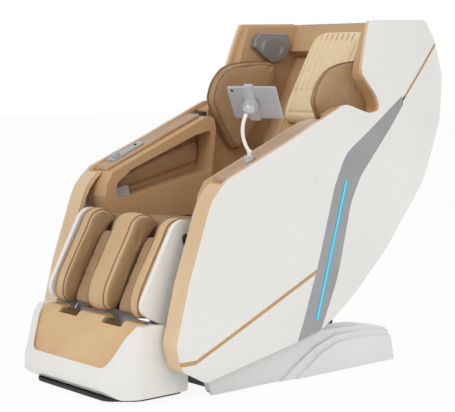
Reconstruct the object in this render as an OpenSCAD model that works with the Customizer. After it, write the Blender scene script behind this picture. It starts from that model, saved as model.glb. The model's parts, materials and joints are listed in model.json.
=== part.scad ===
// Reclining massage chair on a sliding base: capsule sides, leg unit, foot unit and a swivelling tablet holder.
// +Z is up, the sitter faces -Y and +X is the sitter's left. Lengths are in millimetres.

/* [Overall] */
// Width over the two side panels
chair_w = 750; // [735:1:765]
// How far each hood side leans in at its top
hood_lean = 38; // [20:1:45]
// Thickness of a moulded outer skin
skin_t = 5; // [4:0.5:6]
// Width of the seam between two outer panels
seam = 0.6; // [0.4:0.1:1]
// Width of the front edge band, measured across the chair
band_w = 70; // [60:1:75]
// Wall of the edge band and the inner liner
liner_t = 6; // [4:0.5:8]
// Width of the gold trim strips
trim_w = 12; // [8:1:16]
// Depth by which the light bars sit under the panel face
bar_recess = 1.5; // [0.5:0.5:3]
// Width of the lit lens
lens_w = 15; // [10:1:20]

/* [Base] */
// Width over the plinths
base_w = 690; // [670:2:710]
// Wall of the base shell
base_wall = 8; // [6:1:10]
// Step of the side bevel
bevel_step = 10; // [4:1:12]
// Height of the rubber feet
foot_h = 14; // [12:1:18]
// Radius of the rubber feet
foot_r = 24; // [18:1:28]
// Side of the square frame tubes
tube_s = 40; // [34:1:44]
// Distance between the centres of the slide rails
rail_gap = 300; // [280:2:320]
// Width of a slide rail
rail_w = 20; // [16:1:24]
// Height of a slide rail
rail_h = 20; // [16:1:24]
// Running clearance of slides and pins
fit = 0.05; // [0.03:0.01:0.1]

/* [Pivots] */
// Place of the recline pivot along Y
recline_y = 150; // [145:1:155]
// Height of the recline pivot
recline_z = 165; // [160:1:175]
// Radius of the recline pivot pin
pivot_r = 12; // [10:0.5:14]
// Place of the knee pivot along Y
knee_y = -400; // [-404:1:-396]
// Height of the knee pivot
knee_z = 500; // [496:1:504]
// Radius of the knee pins
knee_r = 9; // [7:0.5:10]

/* [Seat] */
// Width of the seat cushion
seat_w = 464; // [440:2:468]
// Thickness of the seat cushion
seat_t = 78; // [60:1:90]
// Width of the back cushion
back_w = 440; // [400:2:450]
// Thickness of the back cushion
back_t = 56; // [45:1:60]
// Lean of the back from upright, in degrees
back_lean = 29.2; // [29:0.1:29.4]
// Width of the headrest pillow
pillow_w = 274; // [250:2:290]
// Height of the headrest pillow
pillow_h = 372; // [360:2:376]
// Thickness of the headrest pillow
pillow_t = 58; // [48:1:60]
// Number of sewn channels in the pillow
pillow_channels = 7; // [5:1:9]
// Depth of a sewn channel
channel_d = 4; // [2:0.5:5]
// Thickness of a shoulder pad
shoulder_t = 54; // [44:1:60]

/* [Arms] */
// Thickness of the wooden arm top
top_t = 12; // [8:1:16]
// Width of the wooden arm top
top_w = 78; // [66:1:82]
// Thickness of the arm pad in the channel
arm_pad_t = 22; // [16:1:26]
// Length of the remote pad
remote_l = 150; // [130:2:160]
// Radius of the remote knob
knob_r = 15; // [12:0.5:18]

/* [Tablet holder] */
// Radius of the gooseneck
neck_r = 6; // [5:0.5:7]
// Radius of the ball at its end
ball_r = 20; // [16:0.5:21]
// Width of the tablet
tablet_w = 165; // [150:1:180]
// Height of the tablet
tablet_h = 128; // [116:1:136]
// Thickness of the tablet
tablet_t = 8; // [6:0.5:10]
// Tilt of the tablet from upright, in degrees
tablet_tilt = 38; // [30:1:42]

/* [Leg unit] */
// Slant of the calf unit from upright, in degrees
calf_slant = 28.6; // [28:0.1:29]
// Width of the middle calf cushion
middle_w = 130; // [120:1:136]
// Width of one calf channel
channel_w = 110; // [104:1:116]
// Width of an outer calf cushion
outer_w = 60; // [54:1:62]
// Radius of the calf cushions round the knee pivot
calf_r = 62; // [58:1:64]
// Length of the calf cushions below the knee pivot
calf_l = 285; // [280:1:290]
// Width of the foot unit
foot_w = 576; // [560:2:580]
// Radius of the foot extension rods
rod_r = 8; // [6:0.5:10]

/* [Massage unit] */
// Radius of a massage roller
roller_r = 30; // [26:1:32]
// Width of a massage roller
roller_w = 26; // [22:1:30]

/* [Hidden] */

$fn = 48;
arc_step = 14;
half_w = chair_w / 2;
skin_in = half_w - skin_t;
band_x = half_w - skin_t - band_w;
gap = 0.4;
soft_gap = 0.4;
big = 1400;

white = "white";
tan = [0.72, 0.55, 0.36];
brown = [0.58, 0.42, 0.27];
cream = [0.93, 0.84, 0.68];
gold = [0.82, 0.66, 0.42];
grey = [0.55, 0.56, 0.58];
steel = [0.45, 0.47, 0.50];
dark = [0.18, 0.18, 0.20];
silver = [0.78, 0.79, 0.81];

// ---- outline helpers: an outline point is [along Y, up Z, corner radius] ----
function flat2(p) = [p[0], p[1]];
function unit(v) = v / norm(v);
function corner(a, b, c, r) =
    r <= 0 ? [b] :
    let (u = unit(a - b), v = unit(c - b),
         half = acos(max(-0.9999, min(0.9999, u * v))) / 2,
         run = min(r / tan(half), 0.48 * norm(a - b), 0.48 * norm(c - b)),
         p = b + u * run, q = b + v * run,
         n = max(2, ceil((180 - 2 * half) / arc_step)))
    [for (i = [0:n]) let (s = i / n) (1 - s) * (1 - s) * p + 2 * s * (1 - s) * b + s * s * q];
function rounded(list) =
    let (n = len(list))
    [for (i = [0:n - 1]) each corner(flat2(list[(i + n - 1) % n]), flat2(list[i]), flat2(list[(i + 1) % n]),
                                     list[i][2])];
function moved(pts, by) = [for (p = pts) p + by];

// A slab between two X values whose outline lies in the Y-Z plane.
module slab(pts, x0, x1) {
    translate([x0, 0, 0]) rotate([90, 0, 90]) linear_extrude(x1 - x0) polygon(pts);
}

module both() {
    children();
    mirror([1, 0, 0]) children();
}

// A tube or rod across the chair.
module across(r, x0, x1, y, z) {
    translate([x0, y, z]) rotate([0, 90, 0]) cylinder(r = r, h = x1 - x0);
}

// ---- soft forms ----
// A pad on the X-Y plane: its outline shrinks in rings towards a crowned top and a slightly crowned underside.
function ring_scale(k) = [1, 0.985, 0.92, 0.76, 0.4][k];
function ring_rise(k) = [0, 0.45, 0.8, 0.95, 1][k];
function middle_of(pts) = [for (k = [0:1]) (max([for (p = pts) p[k]]) + min([for (p = pts) p[k]])) / 2];
module puff(pts, t, back = 0.25) {
    n = len(pts);
    c = middle_of(pts);
    side = t * back;
    levels = concat([for (k = [4:-1:0]) [ring_scale(k), side - side * ring_rise(k)]],
                    [for (k = [0:4]) [ring_scale(k), side + (t - side) * ring_rise(k)]]);
    clean = [for (i = [0:len(levels) - 1]) if (i != 5) levels[i]];
    m = len(clean);
    verts = concat([for (l = clean) for (p = pts) [c[0] + (p[0] - c[0]) * l[0], c[1] + (p[1] - c[1]) * l[0], l[1]]],
                   [[c[0], c[1], clean[0][1]], [c[0], c[1], clean[m - 1][1]]]);
    faces = concat(
        [for (k = [0:m - 2]) for (i = [0:n - 1]) [k * n + i, (k + 1) * n + i, k * n + (i + 1) % n]],
        [for (k = [0:m - 2]) for (i = [0:n - 1]) [k * n + (i + 1) % n, (k + 1) * n + i, (k + 1) * n + (i + 1) % n]],
        [for (i = [0:n - 1]) [m * n, i, (i + 1) % n]],
        [for (i = [0:n - 1]) [m * n + 1, (m - 1) * n + (i + 1) % n, (m - 1) * n + i]]);
    polyhedron(points = verts, faces = faces, convexity = 4);
}

// A cushion on a grid: w across, l along, crowned, with sewn channels of depth d that run along it above cut.
function roll(s) = pow(max(0, 1 - pow(abs(s), 6)), 0.35);
function groove(x, w, count, d) =
    count < 1 ? 0 : let (f = (x / w + 0.5) * count, k = abs(f - round(f))) d * max(0, 1 - k * 7);
module quilt(w, l, t, count, d, cut, nx, ny) {
    function height(i, j) =
        let (sx = 2 * i / nx - 1, sy = 2 * j / ny - 1, x = sx * w / 2, inner = w * 0.78,
             edge = roll(sx) * roll(sy),
             sewn = abs(x) < inner / 2 && sy > cut && abs(sy) < 0.9 ? groove(x, inner, count, d) : 0)
        0.3 * t + edge * (0.7 * t * (0.88 + 0.12 * cos(90 * sx)) - sewn);
    cols = nx + 1;
    top = [for (j = [0:ny]) for (i = [0:nx]) [(i / nx - 0.5) * w, (j / ny - 0.5) * l, height(i, j)]];
    rim = concat([for (i = [0:nx - 1]) i], [for (j = [0:ny - 1]) j * cols + nx],
                 [for (i = [nx:-1:1]) ny * cols + i], [for (j = [ny:-1:1]) j * cols]);
    low = [for (k = rim) [top[k][0], top[k][1], 0]];
    base = len(top);
    n = len(rim);
    polyhedron(points = concat(top, low, [[0, 0, 0]]), convexity = 6, faces = concat(
        [for (j = [0:ny - 1]) for (i = [0:nx - 1]) let (a = j * cols + i) [a, a + cols, a + 1]],
        [for (j = [0:ny - 1]) for (i = [0:nx - 1]) let (a = j * cols + i) [a + 1, a + cols, a + cols + 1]],
        [for (k = [0:n - 1]) [base + n, base + k, base + (k + 1) % n]],
        [for (k = [0:n - 1]) [rim[k], rim[(k + 1) % n], base + (k + 1) % n]],
        [for (k = [0:n - 1]) [rim[k], base + (k + 1) % n, base + k]]));
}

// ---- outer body ----
side_outline = rounded([
    [-524, 187, 60], [-474, 376, 300], [-383, 629, 150], [-318, 688, 60], [-58, 795, 300], [205, 912, 60],
    [318, 877, 60], [376, 888, 22], [357, 938, 60], [290, 1012, 40], [325, 1124, 120], [350, 1192, 16],
    [632, 1199, 22], [678, 1128, 90], [706.3, 1000, 160], [682, 850, 200], [598, 635, 300], [401, 402, 300],
    [255, 271, 300], [162, 203, 60], [88, 159, 60], [-20, 134, 300], [-405, 58, 40], [-500, 108, 30]]);

// Skin between an inset a and an inset b from the outermost face; it leans in towards the hood's top.
function skin_edge(inset) = [[half_w - 9 - inset, 0], [half_w - inset, 200], [half_w - inset, 820],
                             [half_w - hood_lean * 0.4 - inset, 1010], [half_w - hood_lean - inset, 1210]];
module lean_wall(a, b) {
    edge_out = skin_edge(a);
    edge_in = skin_edge(b);
    translate([0, big / 2 + 100, 0]) rotate([90, 0, 0])
        linear_extrude(big) polygon(concat(edge_out, [for (i = [4:-1:0]) edge_in[i]]));
}
module lean_block(x0, inset) {
    translate([0, big / 2 + 100, 0]) rotate([90, 0, 0])
        linear_extrude(big) polygon(concat([[x0, 0]], skin_edge(inset), [[x0, 1210]]));
}

bar_front = rounded([[-60, 0, 0], [-15, 133, 200], [68, 362, 400], [150, 640, 160], [200, 745, 120], [487, 933, 0]]);
bar_rear = rounded([[46, 0, 0], [90, 159, 200], [168, 334, 400], [228, 580, 200], [275, 668, 140], [493, 905, 0]]);
tip = [490, 919];
front_line = concat(bar_front, [tip]);
rear_line = concat(bar_rear, [tip]);
trim_top = [702, 1138];
trim_far = tip + 2 * (trim_top - tip);
trim_low = [[-600, 131], [-448, 131], [68, 362], [120, 385.3]];

// Region of the side view in front of the light bar and the upper trim.
front_region = concat([[-700, 0]], front_line, [trim_far, [trim_far[0], 1500], [-700, 1500]]);
rear_region = concat(rear_line, [trim_far, [1000, trim_far[1]], [1000, 0]]);
bar_region = concat(front_line, [for (i = [len(rear_line) - 2:-1:0]) rear_line[i]]);
function lift(pts, dz) = [for (p = pts) [p[0], p[1] + dz]];
upper_of_trim = concat(lift(trim_low, trim_w / 2 + seam), [[120, 1600], [1200, 1600], [1200, 1700], [-600, 1700]]);
lower_of_trim = concat([[-600, 0]], lift(trim_low, -trim_w / 2 - seam), [[200, 300], [200, 0]]);
trim_band = concat(lift(trim_low, -trim_w / 2), [for (i = [3:-1:0]) lift(trim_low, trim_w / 2)[i]]);

module side_skin(a, b) {
    intersection() {
        slab(side_outline, 200, half_w + 10);
        lean_wall(a, b);
        children();
    }
}

module main_panel() {
    side_skin(0, skin_t) difference() {
        slab(moved(front_region, [-seam, 0]), 100, 500);
        slab(moved(bar_region, [seam, 0]), 90, 510);
        slab(concat([[-700, 0]], [[-700, 0]], lift(trim_low, trim_w / 2 + seam), [[160, 403.2], [160, 0]]), 90, 510);
        slab(concat(lift([tip, trim_far], -trim_w / 2), [for (p = lift([trim_far, tip], trim_w / 2)) p]), 90, 510);
    }
}

module left_side_panel() {
    color(white) main_panel();
}

module right_side_panel() {
    color(white) mirror([1, 0, 0]) main_panel();
}

module lower_panels() {
    color(white) both() side_skin(0, skin_t) intersection() {
        slab(moved(front_region, [-seam, 0]), 100, 500);
        slab(lower_of_trim, 90, 510);
    }
}

module rear_panels() {
    color(white) both() side_skin(0, skin_t) difference() {
        slab(moved(rear_region, [seam, 0]), 100, 500);
        slab(concat(lift([tip, trim_far], -trim_w / 2 - seam), lift([trim_far, tip], trim_w / 2 + seam)), 90, 510);
    }
}

module light_bars() {
    color(grey) both() side_skin(bar_recess, skin_t) difference() {
        slab(bar_region, 100, 500);
        slab(lens_region(0.1), 90, 510);
    }
}

lens_low = [73, 200];
lens_high = [206, 655];
function lens_region(grow) =
    let (along = unit(lens_high - lens_low), side = [along[1], -along[0]] * (lens_w / 2 + grow))
    [lens_low - side, lens_low + side, lens_high + side, lens_high - side];

module light_lenses() {
    color([0.25, 0.85, 0.98]) both() side_skin(bar_recess - 0.5, skin_t) slab(lens_region(0), 90, 510);
}

module gold_trims() {
    color(gold) both() {
        side_skin(0.4, skin_t) intersection() {
            slab(trim_band, 90, 510);
            slab(moved(front_region, [-seam, 0]), 100, 500);
        }
        side_skin(0.4, skin_t) slab(concat(lift([tip + [12, 12], trim_far], -trim_w / 2 + seam),
                                         lift([trim_far, tip + [12, 12]], trim_w / 2 - seam)), 90, 510);
    }
}

// Gold band behind the white skin along the front edge, over the arm line and up the hood.
band_shift = [14, -9];
band_split_z = 672;
module edge_bands() {
    color(gold) both() difference() {
        intersection() {
            slab(side_outline, band_x, half_w);
            union() {
                intersection() {
                    lean_block(band_x, skin_t);
                    slab([[-700, 0], [-700, band_split_z], [-250, band_split_z], [-250, 0]], 0, 500);
                }
                intersection() {
                    lean_wall(skin_t, skin_t + hood_rim);
                    slab([[-700, band_split_z], [-700, 1300], [631, 1300], [631, 860], [0, 640]], 0, 500);
                }
            }
        }
        slab(moved(side_outline, band_shift), band_x - 1, half_w + 1);
        translate([0, -720, 0]) cube([foot_half + foot_gap, 330, 300]);
    }
}
hood_rim = 12;

module inner_liners() {
    color(tan) both() intersection() {
        union() {
            slab(moved(side_outline, band_shift + [1, -1]), band_x - liner_t, band_x);
            difference() {
                slab(moved(side_outline, band_shift), band_x - liner_t, half_w);
                slab(moved(side_outline, band_shift + [8, -5]), band_x - liner_t - 1, half_w + 1);
            }
        }
        lean_block(0, skin_t + hood_rim + gap);
        slab(moved(side_outline, cover_shift * 1.4), 0, 500);
        slab([[161, 560], [161, 1300], [900, 1300], [900, 640], [470, 460], [250, 460]], 0, 500);
    }
}

// Rear shell between the side panels; it follows the side outline's back.
cover_shift = [-skin_t, skin_t * 0.8];
module back_cover() {
    color(white) intersection() {
        difference() {
            slab(side_outline, -half_w, half_w);
            slab(moved(side_outline, cover_shift), -half_w - 1, half_w + 1);
        }
        union() {
            lean_block(0, skin_t + gap);
            mirror([1, 0, 0]) lean_block(0, skin_t + gap);
        }
        slab([[210, 240], [640, 1260], [900, 1260], [900, 200], [240, 200]], -500, 500);
    }
}

wall_t = 6;
module hood_crown() {
    hood_in = band_x - liner_t - gap / 2;
    foot = on_back(cushion_face, back_top + 6);
    head = on_back(cushion_face, 424);
    low = on_back(cushion_rear, -60);
    step = on_back(cushion_rear, back_top + 6);
    color(tan) {
        slab([foot, head, [632, 1191], [632, 1191 - wall_t], head + back_out * wall_t * 1.6 - back_dir * 3,
              foot + back_out * wall_t + back_dir * wall_t, step + back_dir * wall_t, step], -hood_in, hood_in);
        both() slab([low - back_out * wall_t, step - back_out * wall_t, step, low], back_w / 2 + 2, hood_in);
    }
}

speaker_outline = rounded([[372, 1108, 8], [380, 1142, 10], [404, 1160, 10], [540, 1160, 10], [560, 1128, 10],
                           [528, 1062, 10], [462, 1048, 12]]);
speaker_t = 26;
module speakers() {
    hood_in = band_x - liner_t;
    color(silver) both() slab(speaker_outline, hood_in - speaker_t, hood_in);
}

// ---- base ----
base_side = rounded([[-346, 2, 6], [-364, 56, 12], [-20, 129, 200], [108, 150, 120], [340, 140, 200],
                     [462, 118, 16], [487, 2, 4]]);
swoosh_low = rounded([[8, 1, 0], [56, 29, 60], [125, 74, 80], [205, 101, 80], [340, 104, 60], [500, 88, 0],
                      [500, 1, 0]]);
swoosh_mid = rounded([[-56, 1, 0], [22, 50, 60], [110, 98, 80], [200, 125, 80], [340, 124, 60], [500, 104, 0],
                      [500, 1, 0]]);
base_half = base_w / 2;
well_x = 246;
plinth_end = 300;
module base_shell() {
    color([0.93, 0.93, 0.92]) difference() {
        union() {
            slab(base_side, -base_half + 2 * bevel_step, base_half - 2 * bevel_step);
            intersection() {
                slab(base_side, -base_half + bevel_step, base_half - bevel_step);
                slab(swoosh_mid, -base_half, base_half);
            }
            intersection() {
                slab(base_side, -base_half, base_half);
                slab(swoosh_low, -base_half, base_half);
            }
        }
        intersection() {
            slab(moved(base_side, [0, -base_wall]), -base_half, base_half);
            translate([-base_half + 2 * bevel_step + base_wall, -350, -1])
                cube([base_w - 4 * bevel_step - 2 * base_wall, 350 + 462, 300]);
        }
        translate([-well_x, -400, -1]) cube([2 * well_x, 1000, 300]);
        translate([-plinth_end, -400, -1]) cube([2 * plinth_end, 80, 300]);
    }
}

frame_x = 180;
frame_z = foot_h;
frame_front = -318;
frame_back = 452;
cross_y = [-300, 60, 410];
inner_half = base_half - 2 * bevel_step - base_wall;
module base_frame() {
    color(steel) difference() {
        union() {
            both() translate([frame_x - tube_s / 2, frame_front, frame_z])
                cube([tube_s, frame_back - frame_front, tube_s]);
            for (y = cross_y) translate([-inner_half, y - tube_s / 2, frame_z])
                cube([2 * inner_half, tube_s, tube_s - 4]);
        }
        both() translate([frame_x - tube_s / 2 + 3, frame_front - 1, frame_z + 3])
            cube([tube_s - 6, frame_back - frame_front + 2, tube_s - 10]);
    }
}

module base_feet() {
    color(dark) both() for (y = [cross_y[0], cross_y[2]])
        translate([inner_half - foot_r - 10, y, 0]) cylinder(r = foot_r, h = foot_h);
}

rail_z = frame_z + tube_s;
module slide_rails() {
    color(silver) both() translate([rail_gap / 2 + 16, frame_front + 4, rail_z])
        cube([rail_w, frame_back - frame_front - 30, rail_h]);
}

box_y = 395;
box_z = frame_z + tube_s - 4;
box_d = 60;
module power_box() {
    color(dark) difference() {
        translate([-70, box_y, box_z]) cube([140, box_d, 62]);
        translate([-52, box_y + box_d - 16, box_z + 18]) cube([28, 20, 22]);
        translate([18, box_y + box_d - 9, box_z + 18]) cube([24, 20, 16]);
    }
}

module mains_inlet() {
    color("black") translate([-52, box_y + box_d - 16, box_z + 18]) difference() {
        cube([28, 18, 22]);
        translate([3, 4, 3]) cube([22, 20, 16]);
    }
}

switch_z = box_z + 26;
module power_switch() {
    color([0.1, 0.1, 0.1]) slab(rounded([[box_y + box_d - 5, switch_z - 3, 1.5], [box_y + box_d - 3, switch_z - 6.6, 1],
                                         [box_y + box_d + 3, switch_z - 6.6, 1], [box_y + box_d + 1, switch_z, 2],
                                         [box_y + box_d + 3, switch_z + 6.6, 1], [box_y + box_d - 3, switch_z + 6.6, 1],
                                         [box_y + box_d - 5, switch_z + 3, 1.5]]), 18.3, 41.7);
}

// ---- slide carriage ----
glide_x = rail_gap / 2 + 16 + rail_w / 2;
glide_y = [-120, 160];
plate_z = rail_z + rail_h + 12;
module slide_glides() {
    color(dark) both() for (y = glide_y) difference() {
        translate([glide_x - rail_w / 2 - 12, y - 30, rail_z + 6]) cube([rail_w + 24, 60, plate_z - rail_z - 6]);
        translate([glide_x - rail_w / 2 - fit, y - 31, rail_z]) cube([rail_w + 2 * fit, 62, rail_h + fit]);
    }
}

ear_x = 118;
ear_t = 14;
act_y = -120;
act_z = 125;
act_pin_r = 6;
lug_w = 34;
module slide_carriage() {
    ear = rounded([[recline_y - 40, plate_z, 0], [recline_y - 22, recline_z + 20, 18],
                   [recline_y + 22, recline_z + 20, 18], [recline_y + 34, plate_z, 0]]);
    fork = rounded([[act_y - 26, plate_z, 0], [act_y - 14, act_z + 13, 10], [act_y + 14, act_z + 13, 10],
                    [act_y + 26, plate_z, 0]]);
    color(steel) difference() {
        union() {
            translate([-glide_x - 22, -150, plate_z]) cube([2 * glide_x + 44, 340, 6]);
            both() slab(ear, ear_x, ear_x + ear_t);
            both() slab(fork, lug_w / 2 + 2, lug_w / 2 + 10);
        }
        across(pivot_r, -200, 200, recline_y, recline_z);
        across(act_pin_r, -60, 60, act_y, act_z);
        translate([-lug_w / 2 - 2, -144, plate_z - 1]) cube([lug_w + 4, 240, 10]);
    }
}

module pivot_pin() {
    color(silver) {
        across(pivot_r, -frame_in - 8, frame_in + 8, recline_y, recline_z);
        across(act_pin_r, -lug_w / 2 - 10, lug_w / 2 + 10, act_y, act_z);
    }
}

// ---- seat and back frame ----
frame_in = 236;
frame_t = 6;
back_dir = [sin(back_lean), cos(back_lean)];
back_out = [cos(back_lean), -sin(back_lean)];
// Point on the pillow's front plane at its lower edge.
face_low = [365, 850];
pillow_back = pillow_t + 1;
cushion_face = face_low + back_out * pillow_back;
cushion_rear = cushion_face + back_out * back_t;
function on_back(p, up) = p + back_dir * up;
// Length of the back cushion and the height of its top edge along the back
back_len = 690;
back_top = 306;
deck_front = [knee_y + 74, 462];
deck_rear = [214, 388];
deck_t = 14;
track_low = on_back(cushion_rear, -330);
track_high = on_back(cushion_rear, 292);
leg_act = [-100, 380];
module main_frame() {
    low = track_low + back_out * 6;
    high = track_high + back_out * 6;
    plate = rounded([
        [deck_front[0], deck_front[1] + 14, 10], [deck_front[0] + 30, deck_front[1] + 2, 20],
        [deck_rear[0], deck_rear[1], 30], flat_r(low, 40), flat_r(high, 10), flat_r(high + back_out * 34, 10),
        flat_r(low + back_out * 40 - back_dir * 30, 50), [recline_y + 60, recline_z + 110, 60],
        [recline_y + 24, recline_z - 22, 18], [recline_y - 24, recline_z - 22, 18],
        [recline_y - 60, recline_z + 110, 60], [-20, 350, 40], [-250, 400, 40], [deck_front[0], deck_front[1] - 40, 10]]);
    bracket = rounded([[knee_y - 14, knee_z + 14, 14], [knee_y + 16, knee_z + 16, 14],
                       [deck_front[0] + 26, deck_front[1] + 12, 8], [deck_front[0] + 26, deck_front[1] - 26, 8],
                       [knee_y - 10, knee_z - 16, 14]]);
    color(steel) difference() {
        union() {
            both() slab(plate, frame_in, frame_in + frame_t);
            both() slab(bracket, knee_in, knee_in + frame_t);
            both() translate([frame_in, deck_front[0] + 2, deck_front[1] - 24])
                cube([knee_in + frame_t - frame_in, 22, 34]);
            both() across(knee_r, slab_x + outer_w + 2, knee_in + 1, knee_y, knee_z);
            slab([deck_front, deck_rear, deck_rear - [0, deck_t], deck_front - [0, deck_t]], -frame_in, frame_in);
            cross_bar(on_back(track_high, -14) + back_out * (track_front + track_deep + 8));
            cross_bar(on_back(track_low, 14) + back_out * (track_front + track_deep + 8));
            eye_lugs(leg_act, 421, 416);
            eye_lugs(rec_eye, 404, 398);
        }
        across(pivot_r + fit, -300, 300, recline_y, recline_z);
    }
    color(steel) across(act_pin_r, -lug_w / 2 - 10, lug_w / 2 + 10, rec_eye[0], rec_eye[1]);
    color(steel) across(act_pin_r, -lug_w / 2 - 10, lug_w / 2 + 10, leg_act[0], leg_act[1]);
}
// A pair of ears under the seat deck that hold an actuator pin.
module eye_lugs(at, front_top, rear_top) {
    both() slab(rounded([[at[0] - 15, at[1] - 15, 12], [at[0] - 22, front_top, 0], [at[0] + 22, rear_top, 0],
                         [at[0] + 15, at[1] - 15, 12]]), lug_w / 2 + 2, lug_w / 2 + 10);
}
rec_eye = [50, 330];
function flat_r(p, r) = [p[0], p[1], r];
module cross_bar(p) {
    slab([p - back_dir * 14 - back_out * 8, p + back_dir * 14 - back_out * 8, p + back_dir * 14 + back_out * 8,
          p - back_dir * 14 + back_out * 8], -frame_in, frame_in);
}

track_x = 176;
track_w = 24;
track_front = 0.3;
track_deep = 18;
track_wall = 4;
track_mid = track_front + track_deep / 2;
guide_r = track_deep / 2 - track_wall - 0.3;
module guide_tracks() {
    function at(u, v) = track_low + back_dir * u + back_out * v;
    l = norm(track_high - track_low);
    v0 = track_front;
    v1 = track_front + track_deep;
    color(silver) both() difference() {
        slab([at(0, v0), at(l, v0), at(l, v1), at(0, v1)], track_x, track_x + track_w);
        slab([at(-1, v0 + track_wall), at(l + 1, v0 + track_wall), at(l + 1, v1 - track_wall),
              at(-1, v1 - track_wall)], track_x - 1, track_x + track_w - track_wall);
    }
}

module seat_cushion() {
    slope = atan2(deck_front[1] - deck_rear[1], deck_rear[0] - deck_front[0]);
    l = norm(deck_rear - deck_front) - 8;
    c = (deck_front + deck_rear) / 2;
    color(tan) translate([0, c[0], c[1] + soft_gap]) rotate([-slope, 0, 0])
        quilt(seat_w, l, seat_t, 0, 0, 1, 16, 12);
}

module back_cushion() {
    mid = on_back(cushion_rear, back_top - back_len / 2) - back_out * soft_gap;
    color(tan) translate([0, mid[0], mid[1]]) rotate([90 - back_lean, 0, 0])
        quilt(back_w, back_len, back_t, 6, channel_d, -1, 36, 16);
}

module headrest_pillow() {
    mid = on_back(face_low + back_out * pillow_t, pillow_h / 2);
    color(cream) translate([0, mid[0], mid[1]]) rotate([90 - back_lean, 0, 0])
        quilt(pillow_w, pillow_h, pillow_t, pillow_channels, channel_d, -0.45, 42, 12);
}

shoulder_outline = rounded([[398, 1046, 60], [212, 1034, 90], [132, 912, 90], [226, 764, 60], [268, 716, 40],
                            [330, 760, 60], [420, 900, 60]]);
module shoulder_pads() {
    color(brown) both() translate([band_x - liner_t - soft_gap, 0, 0]) rotate([0, 0, 180]) rotate([90, 0, 90])
        puff([for (i = [len(shoulder_outline) - 1:-1:0]) [-shoulder_outline[i][0], shoulder_outline[i][1]]],
             shoulder_t);
}

// ---- arms ----
arm_in = frame_in + frame_t + gap;
arm_out = half_w - skin_t - hood_rim - gap;
arm_bend = [-95, 765.5];
arm_slope = 96 / 224;
arm_rear_slope = 86 / 205;
function arm_z(y) = arm_bend[1] + (y - arm_bend[0]) * (y < arm_bend[0] ? arm_slope : arm_rear_slope);
arm_outer = rounded([[-318, 522, 10], [-342, 592, 14], [-335, 630, 20], [-308, arm_z(-308), 8], [-95, 765.5, 0],
                     [112, arm_z(112), 0], [146, arm_z(112) + 2, 24], [158, 812, 30], [130, 560, 20], [40, 500, 20],
                     [-296, 516, 10]]);
channel_outline = rounded([[-296, 590, 20], [-290, 634, 20], [-230, 678, 30], [60, 788, 40], [138, 806, 20],
                           [132, 657, 10], [-262, 580, 16]]);
module arm_body() {
    difference() {
        slab(arm_outer, arm_in, arm_out);
        slab(channel_outline, arm_in - 1, arm_out - 22);
        slab(rounded([[-310, 580, 6], [100, 780, 6], [124, 570, 6], [40, 520, 6]]), arm_out - 12, arm_out + 1);
    }
}
module armrests() {
    color(tan) both() arm_body();
}

module arm_tops() {
    outline = [[-306, arm_z(-306)], [-95, 765.5], [110, arm_z(110)], [110, arm_z(110) + top_t],
               [-95, 765.5 + top_t], [-306, arm_z(-306) + top_t]];
    color([0.80, 0.64, 0.50]) both() intersection() {
        slab(outline, arm_out - top_w, arm_out);
        lean_block(0, skin_t + hood_rim + gap);
    }
}

pad_outline = rounded([[-252, 650, 30], [124, 772, 30], [126, 686, 30], [-232, 604, 30]]);
module arm_pads() {
    color(brown) both() translate([arm_out - 22 - soft_gap, 0, 0]) rotate([0, 0, 180]) rotate([90, 0, 90])
        puff([for (i = [len(pad_outline) - 1:-1:0]) [-pad_outline[i][0], pad_outline[i][1]]], arm_pad_t * 1.6);
}

module hand_grips() {
    color(silver) both() intersection() {
        slab(rounded([[-284, 612, 8], [-230, 624, 10], [-222, 596, 8], [-216, 560, 0], [-288, 560, 0]]), 264, 312);
        slab(channel_outline, 200, 400);
    }
}

slope_arm = atan(arm_slope);
remote_y = -196;
module remote_frame() {
    translate([-(arm_out - top_w / 2), remote_y, arm_z(remote_y) + top_t]) rotate([slope_arm, 0, 0]) children();
}
remote_t = 7;
module remote_pad() {
    color(silver) remote_frame() difference() {
        linear_extrude(remote_t) polygon(rounded([[-22, -remote_l / 2, 14], [22, -remote_l / 2, 14],
                                                  [20, remote_l / 2, 12], [-20, remote_l / 2, 12]]));
        translate([0, -remote_l / 2 + 30, 2]) cylinder(r = 4 + fit, h = 10);
        translate([0, remote_l / 2 - 28, 2]) cylinder(r = 6 + fit, h = 10);
    }
}

module remote_knob() {
    color([0.5, 0.5, 0.52]) remote_frame() translate([0, -remote_l / 2 + 30, 0]) {
        translate([0, 0, 2.2]) cylinder(r = 4, h = remote_t);
        translate([0, 0, remote_t + 0.3]) cylinder(r = knob_r, h = 12);
    }
}

module start_button() {
    color([0.2, 0.2, 0.22]) remote_frame() translate([0, remote_l / 2 - 28, 4.5]) cylinder(r = 6, h = 4.5);
}

// ---- inner machines ----
module air_pump() {
    slope = atan2(deck_front[1] - deck_rear[1], deck_rear[0] - deck_front[0]);
    mid = (deck_front + deck_rear) / 2;
    color(grey) translate([-130, mid[0], mid[1]]) rotate([-slope, 0, 0]) translate([0, -120, -deck_t * cos(slope) - 90]) {
        cylinder(r = 42, h = 60);
        translate([-30, -20, 60]) cube([60, 40, 30]);
    }
}

// ---- tablet holder ----
socket_x = arm_out - 36;
socket_y = -185;
socket_z = 734;
socket_h = 20;
socket_r = 18;
spigot_low = 10;
neck_bend_r = 119;
neck_angle = 35;
module holder_socket() {
    color(silver) difference() {
        translate([socket_x, socket_y, socket_z - 25]) cylinder(r = socket_r, h = socket_h + 25);
        translate([socket_x, socket_y, socket_z + spigot_low - 0.3]) cylinder(r = 10 + fit, h = 30);
        slab([[-300, arm_z(-300) + top_t], [-110, arm_z(-110) + top_t], [-110, 600], [-300, 600]], 0, 500);
    }
}

neck_straight = 18;
neck_top = socket_z + 14 + neck_straight;
neck_dir = 49;
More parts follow.
